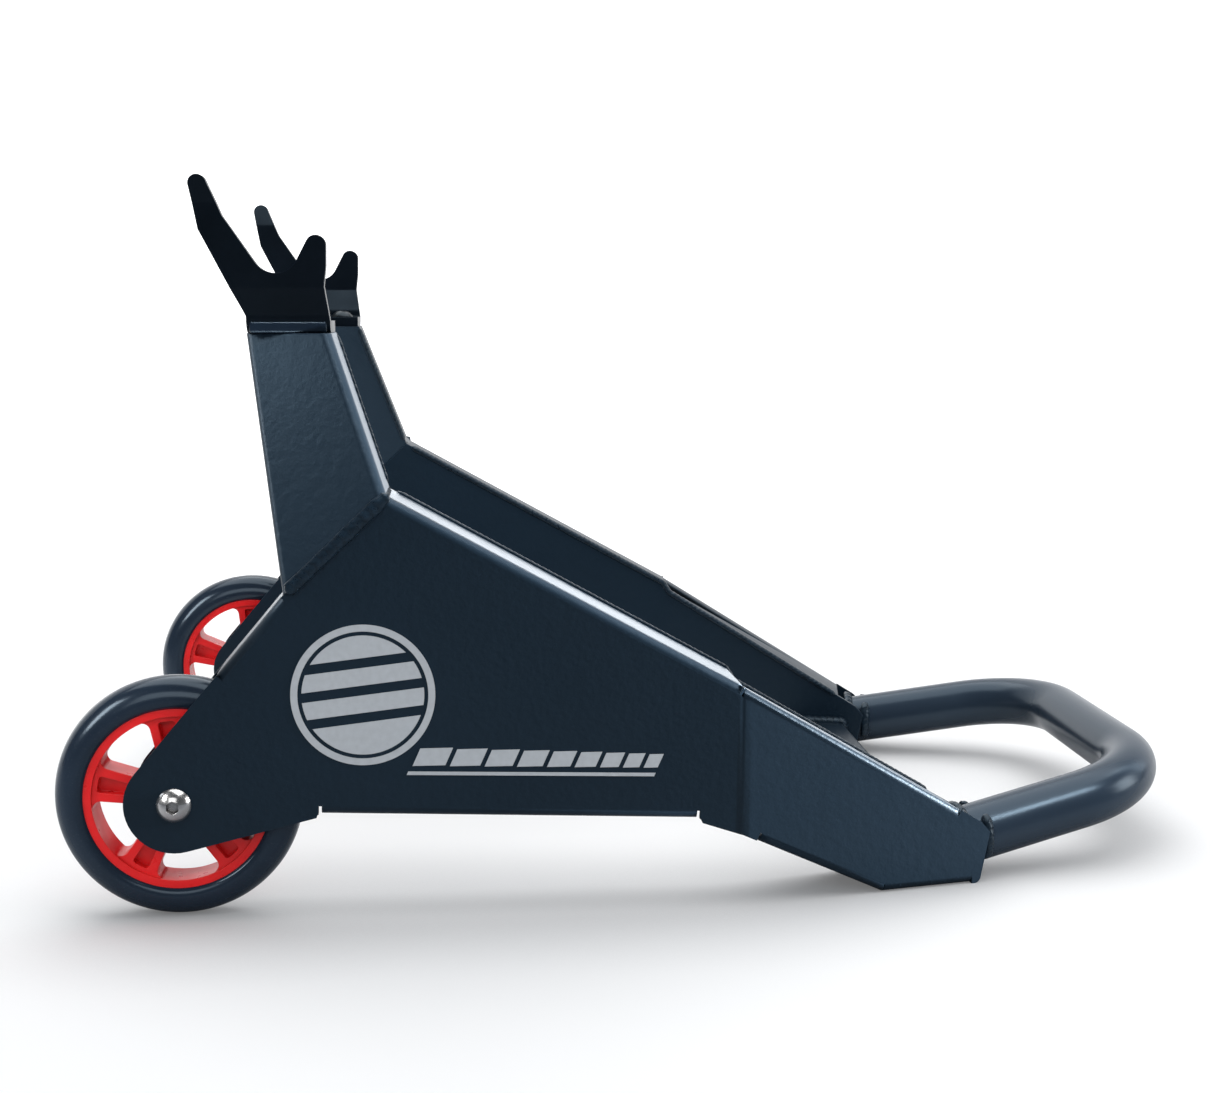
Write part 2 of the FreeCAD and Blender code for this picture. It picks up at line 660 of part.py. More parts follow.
def cross_member():
    """A rectangular tube between the two inner plates."""
    near = inner_face_side()
    return cross_bar(0.0).cut(cross_bar(CROSS_WALL)).common(near).common(mirrored(near))


# ---------------------------------------------------------------- weld beads
def bead(points, radius):
    """A round bead along a chain of points."""
    solid = Part.makeSphere(radius, points[0])
    for a, b in zip(points[:-1], points[1:]):
        length = (b - a).Length
        solid = solid.fuse(Part.makeCylinder(radius, length, a, b - a))
        solid = solid.fuse(Part.makeSphere(radius, b))
    return solid


def largest(shape):
    return max(shape.Solids, key=lambda solid: solid.Volume)


def without(solid, neighbours):
    for other in neighbours:
        solid = solid.cut(other)
    return solid


def mast_weld(neighbours):
    """The bead along the joint between the mast and the arm."""
    joint = unit(KINK[0] - MAST_REAR[0], KINK[1] - MAST_REAR[1])
    y = -OUTER_Y + 0.2
    start = from_axle(MAST_REAR[0] + 3.4 * joint[0], y, MAST_REAR[1] + 3.4 * joint[1])
    end = from_axle(KINK[0] - 4.1 * joint[0], y, KINK[1] - 4.1 * joint[1])
    return largest(without(bead([start, end], 2.6), neighbours))


def handle_weld(neighbours):
    """The bead where the handle tube meets the end plate."""
    start, back = handle_centre_line()[1:]
    forward = arm_forward()
    travel = (end_plate_point() - start).dot(forward) / (back * -1).dot(forward)
    collar = Part.makeCone(TUBE_RADIUS + 4.5, TUBE_RADIUS + 0.5, 5.5, start - back * travel, back * -1)
    collar = collar.common(beyond_end_plate()).cut(handle_rod(TUBE_RADIUS))
    above_floor = side_of_plane(V(0, 0, 0), V(0, 0, -1))
    return largest(without(collar, neighbours).common(above_floor))


def cross_weld(neighbours):
    """The bead round the cross member where it meets the inner plate."""
    def at(x, z):
        return from_axle(x, -INNER_Y + (x - BEND_X) * TOE + 0.3, z)

    rear = CROSS_FRONT_X - CROSS_WIDTH - 0.2
    front = CROSS_FRONT_X + 0.2
    top = CROSS_TOP_Z + 0.2
    points = [at(rear, 6), at(rear, top), at(front, top), at(front, 6)]
    return largest(without(bead(points, 3.2), neighbours))


# ---------------------------------------------------------------- wheel
def about_axle(section):
    """Revolve a closed section; each edge is two or three points, (radius, y from the middle)."""
    base = from_axle(0, -WHEEL_Y, WHEEL_RADIUS)
    edges = []
    for edge in section:
        points = [base + V(0, y, radius) for radius, y in edge]
        if len(points) == 2:
            edges.append(Part.makeLine(*points))
        else:
            edges.append(Part.Arc(*points).toShape())
    return Part.Face(Part.Wire(edges)).revolve(base, V(0, 1, 0), 360)


def tyre():
    shoulder = 51.5
    section = [
        ((RIM_RADIUS, -RIM_HALF), (RIM_RADIUS, -RIDGE_HALF)),
        ((RIM_RADIUS, -RIDGE_HALF), (RIDGE_RADIUS, -RIDGE_HALF)),
        ((RIDGE_RADIUS, -RIDGE_HALF), (RIDGE_RADIUS, RIDGE_HALF)),
        ((RIDGE_RADIUS, RIDGE_HALF), (RIM_RADIUS, RIDGE_HALF)),
        ((RIM_RADIUS, RIDGE_HALF), (RIM_RADIUS, RIM_HALF)),
        ((RIM_RADIUS, RIM_HALF), (RIM_RADIUS + 1.2, RIM_HALF + 1.2)),
        ((RIM_RADIUS + 1.2, RIM_HALF + 1.2), (shoulder, TYRE_HALF)),
        ((shoulder, TYRE_HALF), (WHEEL_RADIUS, 0.0), (shoulder, -TYRE_HALF)),
        ((shoulder, -TYRE_HALF), (RIM_RADIUS + 1.2, -RIM_HALF - 1.2)),
        ((RIM_RADIUS + 1.2, -RIM_HALF - 1.2), (RIM_RADIUS, -RIM_HALF)),
    ]
    return about_axle(section)


def sector(inner, outer, half_inner, half_outer, angle, y0, y1, corner):
    """A rounded window between two spokes, half widths given in millimetres."""
    base = from_axle(0, -WHEEL_Y + y0, WHEEL_RADIUS)

    def p(radius, offset):
        return base + V(math.sqrt(radius ** 2 - offset ** 2), 0, offset)

    corners = [p(inner, -half_inner), p(outer, -half_outer), p(outer, half_outer), p(inner, half_inner)]
    edges = [
        Part.makeLine(corners[0], corners[1]),
        Part.Arc(corners[1], p(outer, 0), corners[2]).toShape(),
        Part.makeLine(corners[2], corners[3]),
        Part.Arc(corners[3], p(inner, 0), corners[0]).toShape(),
    ]
    solid = Part.Face(Part.Wire(edges)).extrude(V(0, y1 - y0, 0))
    upright = [e for e in solid.Edges if abs(e.tangentAt(e.FirstParameter).y) > 0.99]
    solid = solid.makeFillet(corner, upright)
    solid.rotate(base, V(0, -1, 0), angle)
    return solid


def hub(first_spoke):
    """Red plastic hub with five pocketed spokes."""
    rim = about_axle([
        ((RIM_INSIDE, -RIM_HALF), (RIM_RADIUS, -RIM_HALF)),
        ((RIM_RADIUS, -RIM_HALF), (RIM_RADIUS, -RIDGE_HALF)),
        ((RIM_RADIUS, -RIDGE_HALF), (RIDGE_RADIUS, -RIDGE_HALF)),
        ((RIDGE_RADIUS, -RIDGE_HALF), (RIDGE_RADIUS, RIDGE_HALF)),
        ((RIDGE_RADIUS, RIDGE_HALF), (RIM_RADIUS, RIDGE_HALF)),
        ((RIM_RADIUS, RIDGE_HALF), (RIM_RADIUS, RIM_HALF)),
        ((RIM_RADIUS, RIM_HALF), (RIM_INSIDE, RIM_HALF)),
        ((RIM_INSIDE, RIM_HALF), (RIM_INSIDE, -RIM_HALF)),
    ])
    boss = ring(-WHEEL_Y - BOSS_HALF, BOSS_RADIUS, 10.0, 2 * BOSS_HALF)
    disc = ring(-WHEEL_Y - SPOKE_HALF, RIM_INSIDE + 1, 12.0, 2 * SPOKE_HALF)
    step = 360.0 / SPOKES
    for k in range(SPOKES):
        window = first_spoke + step * (k + 0.5)
        disc = disc.cut(sector(20.5, RIM_INSIDE, 6.0, 17.2, window, -SPOKE_HALF - 1, SPOKE_HALF + 1, 4.0))
        spoke = first_spoke + step * k
        for y0, y1 in ((-SPOKE_HALF - 1, -3.0), (3.0, SPOKE_HALF + 1)):
            disc = disc.cut(sector(19.5, 40.3, 2.6, 4.4, spoke, y0, y1, 1.6))
    solid = rim.fuse(disc).fuse(boss)
    for y0 in (-WHEEL_Y - BOSS_HALF, -WHEEL_Y + BEARING_GAP):
        solid = solid.cut(rod(0, y0, WHEEL_RADIUS, BEARING_RADIUS, BEARING_WIDTH))
    return solid.removeSplitter()


def bearing_middles():
    """Y of the outer and the inner bearing of the left wheel."""
    reach = BEARING_GAP + BEARING_WIDTH / 2
    return (-WHEEL_Y - reach, -WHEEL_Y + reach)


def groove(y, radius):
    return Part.makeTorus(PITCH_RADIUS, radius, from_axle(0, y, WHEEL_RADIUS), V(0, 1, 0))


def outer_race(y):
    race = ring(y - BEARING_WIDTH / 2, BEARING_RADIUS, 10.8, BEARING_WIDTH)
    return race.cut(groove(y, BALL_RADIUS + RUNNING_GAP))


def inner_race(y):
    race = ring(y - BEARING_WIDTH / 2, SPACER_RADIUS, BORE_RADIUS, BEARING_WIDTH)
    return race.cut(groove(y, BALL_RADIUS + RUNNING_GAP))


def ball_centres(y):
    centres = []
    for k in range(BALL_COUNT):
        angle = 2 * math.pi * k / BALL_COUNT
        x = PITCH_RADIUS * math.cos(angle)
        z = PITCH_RADIUS * math.sin(angle)
        centres.append(from_axle(x, y, WHEEL_RADIUS + z))
    return centres


def ball_cage(y):
    """Seven balls and the ribbon cage that keeps them apart."""
    cage = ring(y - 2.9, 9.6, 8.6, 5.8)
    middle = from_axle(0, y, WHEEL_RADIUS)
    for centre in ball_centres(y):
        pocket = Part.makeCylinder(BALL_RADIUS + 2 * RUNNING_GAP, 12.0, middle, centre - middle)
        cage = cage.cut(pocket)
    return Part.makeCompound([cage] + [Part.makeSphere(BALL_RADIUS, c) for c in ball_centres(y)])


def bearing_seals():
    """Four thin seals, held by the outer races."""
    thickness = 0.5
    seals = []
    for y in bearing_middles():
        for start in (y - 3.8, y + 3.8 - thickness):
            seals.append(ring(start, 10.8, SPACER_RADIUS + 0.05, thickness))
    return Part.makeCompound(seals)


# ---------------------------------------------------------------- axle
def axle_bolt():
    """M10 button-head bolt from outside, with a hexagon socket."""
    shank = rod(0, -OUTER_Y, WHEEL_RADIUS, BOLT_RADIUS, 55.0)
    head = Part.makeSphere(10.3, from_axle(0, -OUTER_Y + 4.8, WHEEL_RADIUS))
    head = head.common(rod(0, -OUTER_Y - 5.5, WHEEL_RADIUS, 8.75, 5.5))
    socket = hexagon(0, -OUTER_Y - 6.0, WHEEL_RADIUS, 6.0, 4.0)
    return shank.fuse(head).cut(socket)


def axle_spacer_outer():
    return ring(-OUTER_Y + SHEET, SPACER_RADIUS, BORE_RADIUS, OUTER_Y - SHEET - WHEEL_Y - BOSS_HALF)


def axle_spacer_inner():
    return ring(-WHEEL_Y + BOSS_HALF, SPACER_RADIUS, BORE_RADIUS, WHEEL_Y - BOSS_HALF - INNER_Y - SHEET)


def axle_sleeve():
    return ring(-WHEEL_Y - BEARING_GAP, 7.0, BORE_RADIUS, 2 * BEARING_GAP)


def axle_washer():
    return ring(-INNER_Y, 10.0, BORE_RADIUS + 0.25, 2.0)


def axle_nut():
    """Self-locking M10 nut with its nylon collar."""
    y = -INNER_Y + 2.0
    body = hexagon(0, y, WHEEL_RADIUS, 17.0, 8.0)
    body = body.common(Part.makeSphere(10.6, from_axle(0, y + 4.0, WHEEL_RADIUS)))
    collar = rod(0, y + 7.5, WHEEL_RADIUS, 7.2, 2.6)
    return body.fuse(collar).cut(rod(0, y - 1, WHEEL_RADIUS, BORE_RADIUS, 14))


# ---------------------------------------------------------------- decal
def slanted_bar(x, z, width, height, y):
    """A bar of film leaning forward, from its lower left corner."""
    lean = height * 0.45
    corners = [(x, z), (x + width, z), (x + width + lean, z + height), (x + lean, z + height)]
    return outline_prism(corners, y, y + FILM)


def decal():
    """A plain round badge with stripes, and a row of slanted bars over a thin line."""
    y = -OUTER_Y - FILM
    badge_x, badge_z = BADGE
    solids = [rod(badge_x, y, badge_z, 36.0, FILM).cut(rod(badge_x, y, badge_z, 32.5, FILM))]
    disc = rod(badge_x, y, badge_z, 30.5, FILM)
    for k in range(3):
        low = badge_z - 18 + 14 * k
        left, right = badge_x - 35, badge_x + 35
        gap = [(left, low), (right, low + 8), (right, low + 13), (left, low + 5)]
        disc = disc.cut(outline_prism(gap, y - 1, y + 1))
    solids += disc.Solids
    x, z = BARS
    for k in range(BAR_COUNT):
        width = BAR_WIDTH * (1 - 0.07 * k)
        solids.append(slanted_bar(x, z - 0.032 * (x - BARS[0]), width, 9.0 - 0.25 * k, y))
        x += width + 2.2
    line = [(BARS[0] - 3, z - 4.6), (x - 4, z - 8.4), (x - 3.2, z - 6.6), (BARS[0] - 2.2, z - 2.8)]
    solids.append(outline_prism(line, y, y + FILM))
    return Part.makeCompound(solids)


# ---------------------------------------------------------------- assembly
def left_parts():
    parts = {}
    parts["arm_shell"] = arm_shell().cut(handle_rod(TUBE_RADIUS + TUBE_CLEARANCE))
    parts["arm_inner_plate"] = arm_inner_plate()
    parts["arm_end_plate"] = arm_end_plate()
    parts["mast_shell"] = mast_shell()
    parts["mast_inner_plate"] = mast_inner_plate()
    parts["mast_cap"] = mast_cap()
    parts["fork"] = fork()
    parts["fork_screws"] = fork_screws()
    parts["fork_nuts"] = fork_nuts()
    parts["axle_bolt"] = axle_bolt()
    parts["axle_spacer_outer"] = axle_spacer_outer()
    parts["axle_spacer_inner"] = axle_spacer_inner()
    parts["axle_sleeve"] = axle_sleeve()
    parts["axle_washer"] = axle_washer()
    parts["axle_nut"] = axle_nut()
    parts["decal"] = decal()
    parts["tyre"] = tyre()
    y_out, y_in = bearing_middles()
    parts["bearing_outer_outer_race"] = outer_race(y_out)
    parts["bearing_outer_inner_race"] = inner_race(y_out)
    parts["bearing_outer_ball_cage"] = ball_cage(y_out)
    parts["bearing_inner_outer_race"] = outer_race(y_in)
    parts["bearing_inner_inner_race"] = inner_race(y_in)
    parts["bearing_inner_ball_cage"] = ball_cage(y_in)
    parts["bearing_seals"] = bearing_seals()
    return parts


def save(name, shape):
    shape.exportStep(os.path.join("parts", name + ".step"))
    box = shape.BoundBox
    print(name, len(shape.Solids), "solids", shape.isValid(),
          "%.1f %.1f %.1f  %.1f %.1f %.1f" % (box.XMin, box.YMin, box.ZMin, box.XMax, box.YMax, box.ZMax))


os.makedirs("parts", exist_ok=True)

left = left_parts()
tube = handle_tube()
cross = cross_member()
left["weld_mast"] = mast_weld([left["arm_shell"], left["mast_shell"]])
left["weld_handle"] = handle_weld([left["arm_shell"], left["arm_inner_plate"], left["arm_end_plate"]])
left["weld_cross"] = cross_weld([left["arm_shell"], left["arm_inner_plate"], cross])
for part_name, part_shape in left.items():
    save("left_" + part_name, part_shape)
    save("right_" + part_name, mirrored(part_shape))
save("left_hub", hub(96.0))
save("right_hub", mirrored(hub(90.0)))
save("handle_tube", tube)
save("cross_member", cross)
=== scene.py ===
import json
import math

import bmesh
import bpy
import numpy as np
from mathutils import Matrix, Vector
from mathutils.bvhtree import BVHTree


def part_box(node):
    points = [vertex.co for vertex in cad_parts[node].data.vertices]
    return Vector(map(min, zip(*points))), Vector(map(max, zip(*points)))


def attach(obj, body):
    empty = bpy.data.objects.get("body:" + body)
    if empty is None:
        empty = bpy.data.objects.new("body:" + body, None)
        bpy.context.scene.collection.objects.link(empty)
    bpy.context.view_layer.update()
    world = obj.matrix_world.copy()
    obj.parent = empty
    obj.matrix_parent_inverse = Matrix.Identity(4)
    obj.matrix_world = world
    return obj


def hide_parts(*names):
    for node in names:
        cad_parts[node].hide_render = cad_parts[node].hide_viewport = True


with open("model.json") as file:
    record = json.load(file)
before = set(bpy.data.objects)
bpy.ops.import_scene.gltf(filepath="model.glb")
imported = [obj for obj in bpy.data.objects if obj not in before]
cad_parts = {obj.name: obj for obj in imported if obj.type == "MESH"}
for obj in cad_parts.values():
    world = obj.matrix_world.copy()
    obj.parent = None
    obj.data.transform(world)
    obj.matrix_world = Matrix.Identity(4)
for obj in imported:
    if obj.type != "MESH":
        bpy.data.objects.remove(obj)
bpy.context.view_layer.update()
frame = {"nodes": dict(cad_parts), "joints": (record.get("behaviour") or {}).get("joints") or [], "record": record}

# Looks of the paddock stand, in metres, in the same frame as the CAD: +Z up, +X towards
# the handle, the left half at -Y.

MM = 0.001
SIDES = {"left": -1.0, "right": 1.0}   # which way each side's outer face looks along Y
NODES = frame["nodes"]
WHEEL = {j["child"]: Vector(j["pos_m"]) for j in frame["joints"] if j["child"].endswith("_wheel")}


# ---------------------------------------------------------------- node helpers
class Shader:
    """A small wrapper that adds and joins shader nodes."""

    def __init__(self, name):
        self.material = bpy.data.materials.new(name)
        self.material.use_nodes = True
        self.tree = self.material.node_tree
        self.tree.nodes.clear()
        self.out = self.tree.nodes.new("ShaderNodeOutputMaterial")
        self.main = self.tree.nodes.new("ShaderNodeBsdfPrincipled")
        self.tree.links.new(self.main.outputs["BSDF"], self.out.inputs["Surface"])
        self.place = self.tree.nodes.new("ShaderNodeTexCoord").outputs["Object"]

    def node(self, kind, inputs=None, **settings):
        made = self.tree.nodes.new("ShaderNode" + kind)
        for key, value in settings.items():
            setattr(made, key, value)
        for key, value in (inputs or {}).items():
            self.feed(made.inputs[key], value)
        return made

    def feed(self, socket, value):
        if isinstance(value, bpy.types.NodeSocket):
            self.tree.links.new(value, socket)
        else:
            socket.default_value = value

    def set(self, **values):
        for key, value in values.items():
            self.feed(self.main.inputs[key.replace("_", " ")], value)

    def noise(self, scale, detail=2.0, rough=0.5, place=None):
        made = self.node("TexNoise", {"Vector": place or self.place, "Scale": scale,
                                      "Detail": detail, "Roughness": rough})
        return made.outputs["Fac"]

    def spread(self, value, low, high, start=0.3, end=0.7):
        """Map start..end of a value to low..high."""
        made = self.node("MapRange", {"Value": value, "From Min": start, "From Max": end,
                                      "To Min": low, "To Max": high})
        return made.outputs["Result"]

    def math(self, operation, a, b=0.0):
        made = self.node("Math", {0: a, 1: b}, operation=operation)
        return made.outputs["Value"]

    def blend(self, amount, a, b, mode="MIX"):
        made = self.node("Mix", data_type="RGBA", blend_type=mode)
        self.feed(made.inputs[0], amount)
        self.feed(made.inputs[6], a)
        self.feed(made.inputs[7], b)
        return made.outputs[2]

    def bump(self, height, distance, strength=1.0, normal=None):
        inputs = {"Height": height, "Distance": distance, "Strength": strength}
        if normal is not None:
            inputs["Normal"] = normal
        return self.node("Bump", inputs).outputs["Normal"]

    def edges(self, radius):
        """A mask of sharp edges, and the normal rounded over them."""
        rounded = self.node("Bevel", {"Radius": radius}, samples=4).outputs["Normal"]
        flat = self.node("NewGeometry").outputs["Normal"]
        dot = self.node("VectorMath", {0: rounded, 1: flat}, operation="DOT_PRODUCT")
        away = self.math("SUBTRACT", 1.0, dot.outputs["Value"])
        return self.spread(away, 0.0, 1.0, 0.02, 0.25), rounded


def rgb(r, g, b):
    return (r, g, b, 1.0)


def tone(colour, factor):
    return rgb(*(min(1.0, c * factor) for c in colour[:3]))


# ---------------------------------------------------------------- materials
# Noise scales are in waves per metre: 170 gives dimples of about 6 mm, 900 of about 1 mm.
BLUE_SHEEN = rgb(0.66, 0.85, 1.0)      # tint of the highlights on the navy coats


def powder_coat(name, colour, roughness, peel, edge_highlight_tone, specular=0.35, grain=0.3):
    """Satin powder coat: orange peel, faint clouding, and sharp edges painted lighter, a painted highlight
    together with the thinner film there.
    """
    s = Shader(name)
    cloud = s.spread(s.noise(9.0, 3.0), 0.0, 1.0)
    speck = s.spread(s.noise(1500.0, 1.0), 0.0, 1.0, 0.35, 0.75)
    mask, rounded = s.edges(1.1 * MM)
    base = s.blend(cloud, tone(colour, 0.93), tone(colour, 1.08))
    base = s.blend(s.math("MULTIPLY", speck, grain), base, tone(colour, 1.35))
    # Sharp edges are painted lighter: a painted highlight, with some of it standing for the thinner film there.
    s.set(Base_Color=s.blend(s.math("MULTIPLY", mask, 0.7), base, tone(colour, edge_highlight_tone)))
    s.set(Roughness=s.spread(s.noise(38.0, 3.0), roughness - 0.02, roughness + 0.03, 0.1, 0.9))
    s.set(Specular_IOR_Level=specular, Specular_Tint=BLUE_SHEEN)
    waves = s.bump(s.noise(170.0, 2.0), 0.24 * MM, peel, rounded)
    coarse = s.bump(s.noise(330.0, 2.0), 0.16 * MM, peel, waves)
    s.set(Normal=s.bump(s.noise(900.0, 1.0), 0.03 * MM, grain, coarse))
    return s.material


def weld_coat(name, colour):
    """Coated weld metal: glossier, with spatter and a thin pale film in random blotches."""
    s = Shader(name)
    blot = s.spread(s.noise(260.0, 3.0, 0.6), 0.0, 1.0)
    s.set(Base_Color=s.blend(blot, tone(colour, 0.7), tone(colour, 1.5)))
    s.set(Roughness=s.spread(s.noise(500.0, 2.0), 0.26, 0.38))
    s.set(Specular_IOR_Level=0.5, Specular_Tint=BLUE_SHEEN)
    spatter = s.node("TexVoronoi", {"Vector": s.place, "Scale": 420.0}).outputs["Distance"]
    lumps = s.bump(spatter, 0.06 * MM, 0.2)
    s.set(Normal=s.bump(s.noise(700.0, 2.0), 0.03 * MM, 0.4, lumps))
    return s.material


def fork_paint(name, colour, roughness):
    """Matt black wear coat of the forks, with a painted highlight along the cut edges."""
    s = Shader(name)
    cloud = s.spread(s.noise(30.0, 4.0), 0.0, 1.0)
    mask, rounded = s.edges(0.9 * MM)
    base = s.blend(cloud, tone(colour, 0.8), tone(colour, 1.2))
    # Painted highlight: the cut edges are painted four times lighter than the coat.
    s.set(Base_Color=s.blend(s.math("MULTIPLY", mask, 0.8), base, tone(colour, 4.0)))
    s.set(Roughness=s.spread(s.noise(60.0, 4.0), roughness - 0.04, roughness + 0.04))
    s.set(Specular_IOR_Level=0.25, Specular_Tint=BLUE_SHEEN)
    s.set(Normal=s.bump(s.noise(700.0, 3.0), 0.05 * MM, 0.5, rounded))
    return s.material


def polyurethane(name, colour):
    """Cast tyre: deep gloss with a slight mould haze and fine dust."""
    s = Shader(name)
    haze = s.spread(s.noise(24.0, 3.0), 0.0, 1.0)
    dust = s.spread(s.noise(900.0, 2.0), 0.0, 1.0, 0.58, 0.8)
    base = s.blend(haze, tone(colour, 0.85), tone(colour, 1.15))
    s.set(Base_Color=s.blend(s.math("MULTIPLY", dust, 0.03), base, rgb(0.25, 0.27, 0.30)))
    s.set(Roughness=s.spread(haze, 0.17, 0.22, 0.0, 1.0))
    s.set(Specular_IOR_Level=0.5, Specular_Tint=BLUE_SHEEN, Coat_Weight=0.10, Coat_Roughness=0.15)
    s.set(Normal=s.bump(s.noise(180.0, 2.0), 0.04 * MM, 0.35))
    return s.material


def red_plastic(name, colour):
    """Injection moulded hub: soft gloss, flow clouding, and a painted highlight on the rounded edges."""
    s = Shader(name)
    flow = s.spread(s.noise(55.0, 3.0), 0.0, 1.0)
    mask, rounded = s.edges(0.8 * MM)
    base = s.blend(flow, tone(colour, 0.86), tone(colour, 1.06))
    # Painted highlight: the rounded edges are painted a brighter red.
    s.set(Base_Color=s.blend(s.math("MULTIPLY", mask, 0.4), base, rgb(0.92, 0.10, 0.08)))
    s.set(Roughness=s.spread(s.noise(120.0, 3.0), 0.26, 0.36))
    s.set(Specular_IOR_Level=0.4, Subsurface_Weight=0.05, Subsurface_Scale=0.002)
    s.set(Normal=s.bump(s.noise(600.0, 2.0), 0.03 * MM, 0.4, rounded))
    return s.material


def turned_metal(name, colour, roughness):
    """Steel with concentric tool marks about the wheel axle, and painted shade in its recesses."""
    s = Shader(name)
    split = s.node("SeparateXYZ", {"Vector": s.place})
    across = s.math("SUBTRACT", split.outputs["X"], WHEEL["left_wheel"].x)
    up = s.math("SUBTRACT", split.outputs["Z"], WHEEL["left_wheel"].z)
    square = s.math("ADD", s.math("MULTIPLY", across, across), s.math("MULTIPLY", up, up))
    radius = s.math("SQRT", square)
    rings = s.node("TexNoise", {"W": s.math("MULTIPLY", radius, 2600.0), "Detail": 2.0},
                   noise_dimensions="1D").outputs["Fac"]
    stain = s.spread(s.noise(160.0, 3.0), 0.0, 1.0)
    rounded = s.edges(0.4 * MM)[1]
    # Painted shade: within 4 mm of another surface, such as down the hex socket, the colour is painted nearly
    # black.
    open_air = s.node("AmbientOcclusion", {"Distance": 4.0 * MM}, samples=6).outputs["AO"]
    painted_recess_shade = s.spread(open_air, 0.85, 0.0, 0.35, 0.85)
    bright = s.blend(stain, tone(colour, 0.82), colour)
    s.set(Base_Color=s.blend(painted_recess_shade, bright, tone(colour, 0.06)))
    s.set(Metallic=1.0)
    s.set(Roughness=s.spread(s.noise(420.0, 3.0), roughness - 0.05, roughness + 0.08))
    s.set(Normal=s.bump(rings, 0.01 * MM, 0.5, rounded))
    return s.material


def seal_rubber(name, colour):
    """Dull black rubber of the bearing seals."""
    s = Shader(name)
    s.set(Base_Color=s.blend(s.spread(s.noise(200.0), 0.0, 1.0), colour, tone(colour, 1.8)))
    s.set(Roughness=s.spread(s.noise(340.0, 3.0), 0.55, 0.7))
    s.set(Normal=s.bump(s.noise(800.0, 2.0), 0.04 * MM, 0.5))
    return s.material


def print_film(name, colour):
    """Satin printed film: faint uneven ink, slight lift of the grain beneath."""
    s = Shader(name)
    ink = s.spread(s.noise(300.0, 3.0), 0.0, 1.0)
    s.set(Base_Color=s.blend(ink, tone(colour, 0.93), tone(colour, 1.02)))
    s.set(Roughness=s.spread(s.noise(90.0, 3.0), 0.38, 0.5))
    s.set(Specular_IOR_Level=0.3)
    s.set(Normal=s.bump(s.noise(900.0, 1.0), 0.02 * MM, 0.4))
    return s.material


NAVY = rgb(0.0070, 0.0150, 0.0250)
FORK_BLACK = rgb(0.0042, 0.0072, 0.0120)
MATERIALS = {
    "coated_steel": powder_coat("coated_steel", NAVY, roughness=0.37, peel=0.7, edge_highlight_tone=4.0),
    "coated_tube": powder_coat("coated_tube", rgb(0.0170, 0.0270, 0.0420), roughness=0.25,
                               peel=0.06, edge_highlight_tone=1.8, specular=0.5, grain=0.0),
    "coated_weld": weld_coat("coated_weld", tone(NAVY, 1.1)),
    "fork_coat": fork_paint("fork_coat", FORK_BLACK, roughness=0.32),
    "fork_bend": fork_paint("fork_bend", FORK_BLACK, roughness=0.14),
    "tyre_pu": polyurethane("tyre_pu", rgb(0.0130, 0.0215, 0.0360)),
    "hub_plastic": red_plastic("hub_plastic", rgb(0.80, 0.008, 0.010)),
    "stainless": turned_metal("stainless", rgb(0.92, 0.91, 0.90), roughness=0.20),
    "zinc_steel": turned_metal("zinc_steel", rgb(0.60, 0.61, 0.62), roughness=0.32),
    "bearing_steel": turned_metal("bearing_steel", rgb(0.70, 0.71, 0.73), roughness=0.20),
    "black_steel": powder_coat("black_steel", rgb(0.010, 0.012, 0.015), roughness=0.30,
                               peel=0.2, edge_highlight_tone=2.5, specular=0.5),
    "seal_rubber": seal_rubber("seal_rubber", rgb(0.012, 0.012, 0.013)),
    "decal_film": print_film("decal_film", rgb(0.56, 0.59, 0.62)),
}


def coat_nodes():
    """Give every CAD node the material of its record slot."""
    for part in frame["record"]["subparts"]:
        slots = NODES[part["node"]].material_slots
        for slot in slots:
            slot.material = MATERIALS[part["material_slot"]]
        if not slots:
            NODES[part["node"]].data.materials.append(MATERIALS[part["material_slot"]])


# ---------------------------------------------------------------- softer CAD edges
JOIN_BEFORE = 0.002 * MM   # CAD facets closer than this are joined first
JOIN_AFTER = 0.01 * MM     # slivers smaller than this are closed up afterwards
FLAT_ANGLE = 0.6           # degrees: facets flatter than this become one face
SHARP_ANGLE = 28.0         # degrees: edges sharper than this are rounded
SHEET_EDGE = 0.45 * MM     # width of the rounding
HUB_EDGE = 0.55 * MM
CROSS_EDGE = 0.3 * MM


def soften(node, width):
    """Round the sharp edges of a CAD node with modifiers; its own mesh stays as it is."""
    obj = NODES[node]
    weld = obj.modifiers.new("weld", "WELD")
    weld.merge_threshold = JOIN_BEFORE
    flat = obj.modifiers.new("flat", "DECIMATE")
    flat.decimate_type = "DISSOLVE"
    flat.angle_limit = math.radians(FLAT_ANGLE)
    bevel = obj.modifiers.new("bevel", "BEVEL")
    bevel.width = width
    bevel.segments = 2
    bevel.limit_method = "ANGLE"
    bevel.angle_limit = math.radians(SHARP_ANGLE)
    bevel.use_clamp_overlap = True
    bevel.miter_outer = "MITER_ARC"
    clean = obj.modifiers.new("clean", "WELD")
    clean.merge_threshold = JOIN_AFTER
    normals = obj.modifiers.new("normals", "WEIGHTED_NORMAL")
    normals.keep_sharp = False


def soften_nodes():
    for side in SIDES:
        for part in ("arm_shell", "arm_inner_plate", "mast_shell", "mast_inner_plate", "fork"):
            soften(side + "_" + part, SHEET_EDGE)
        soften(side + "_hub", HUB_EDGE)
    soften("cross_member", CROSS_EDGE)


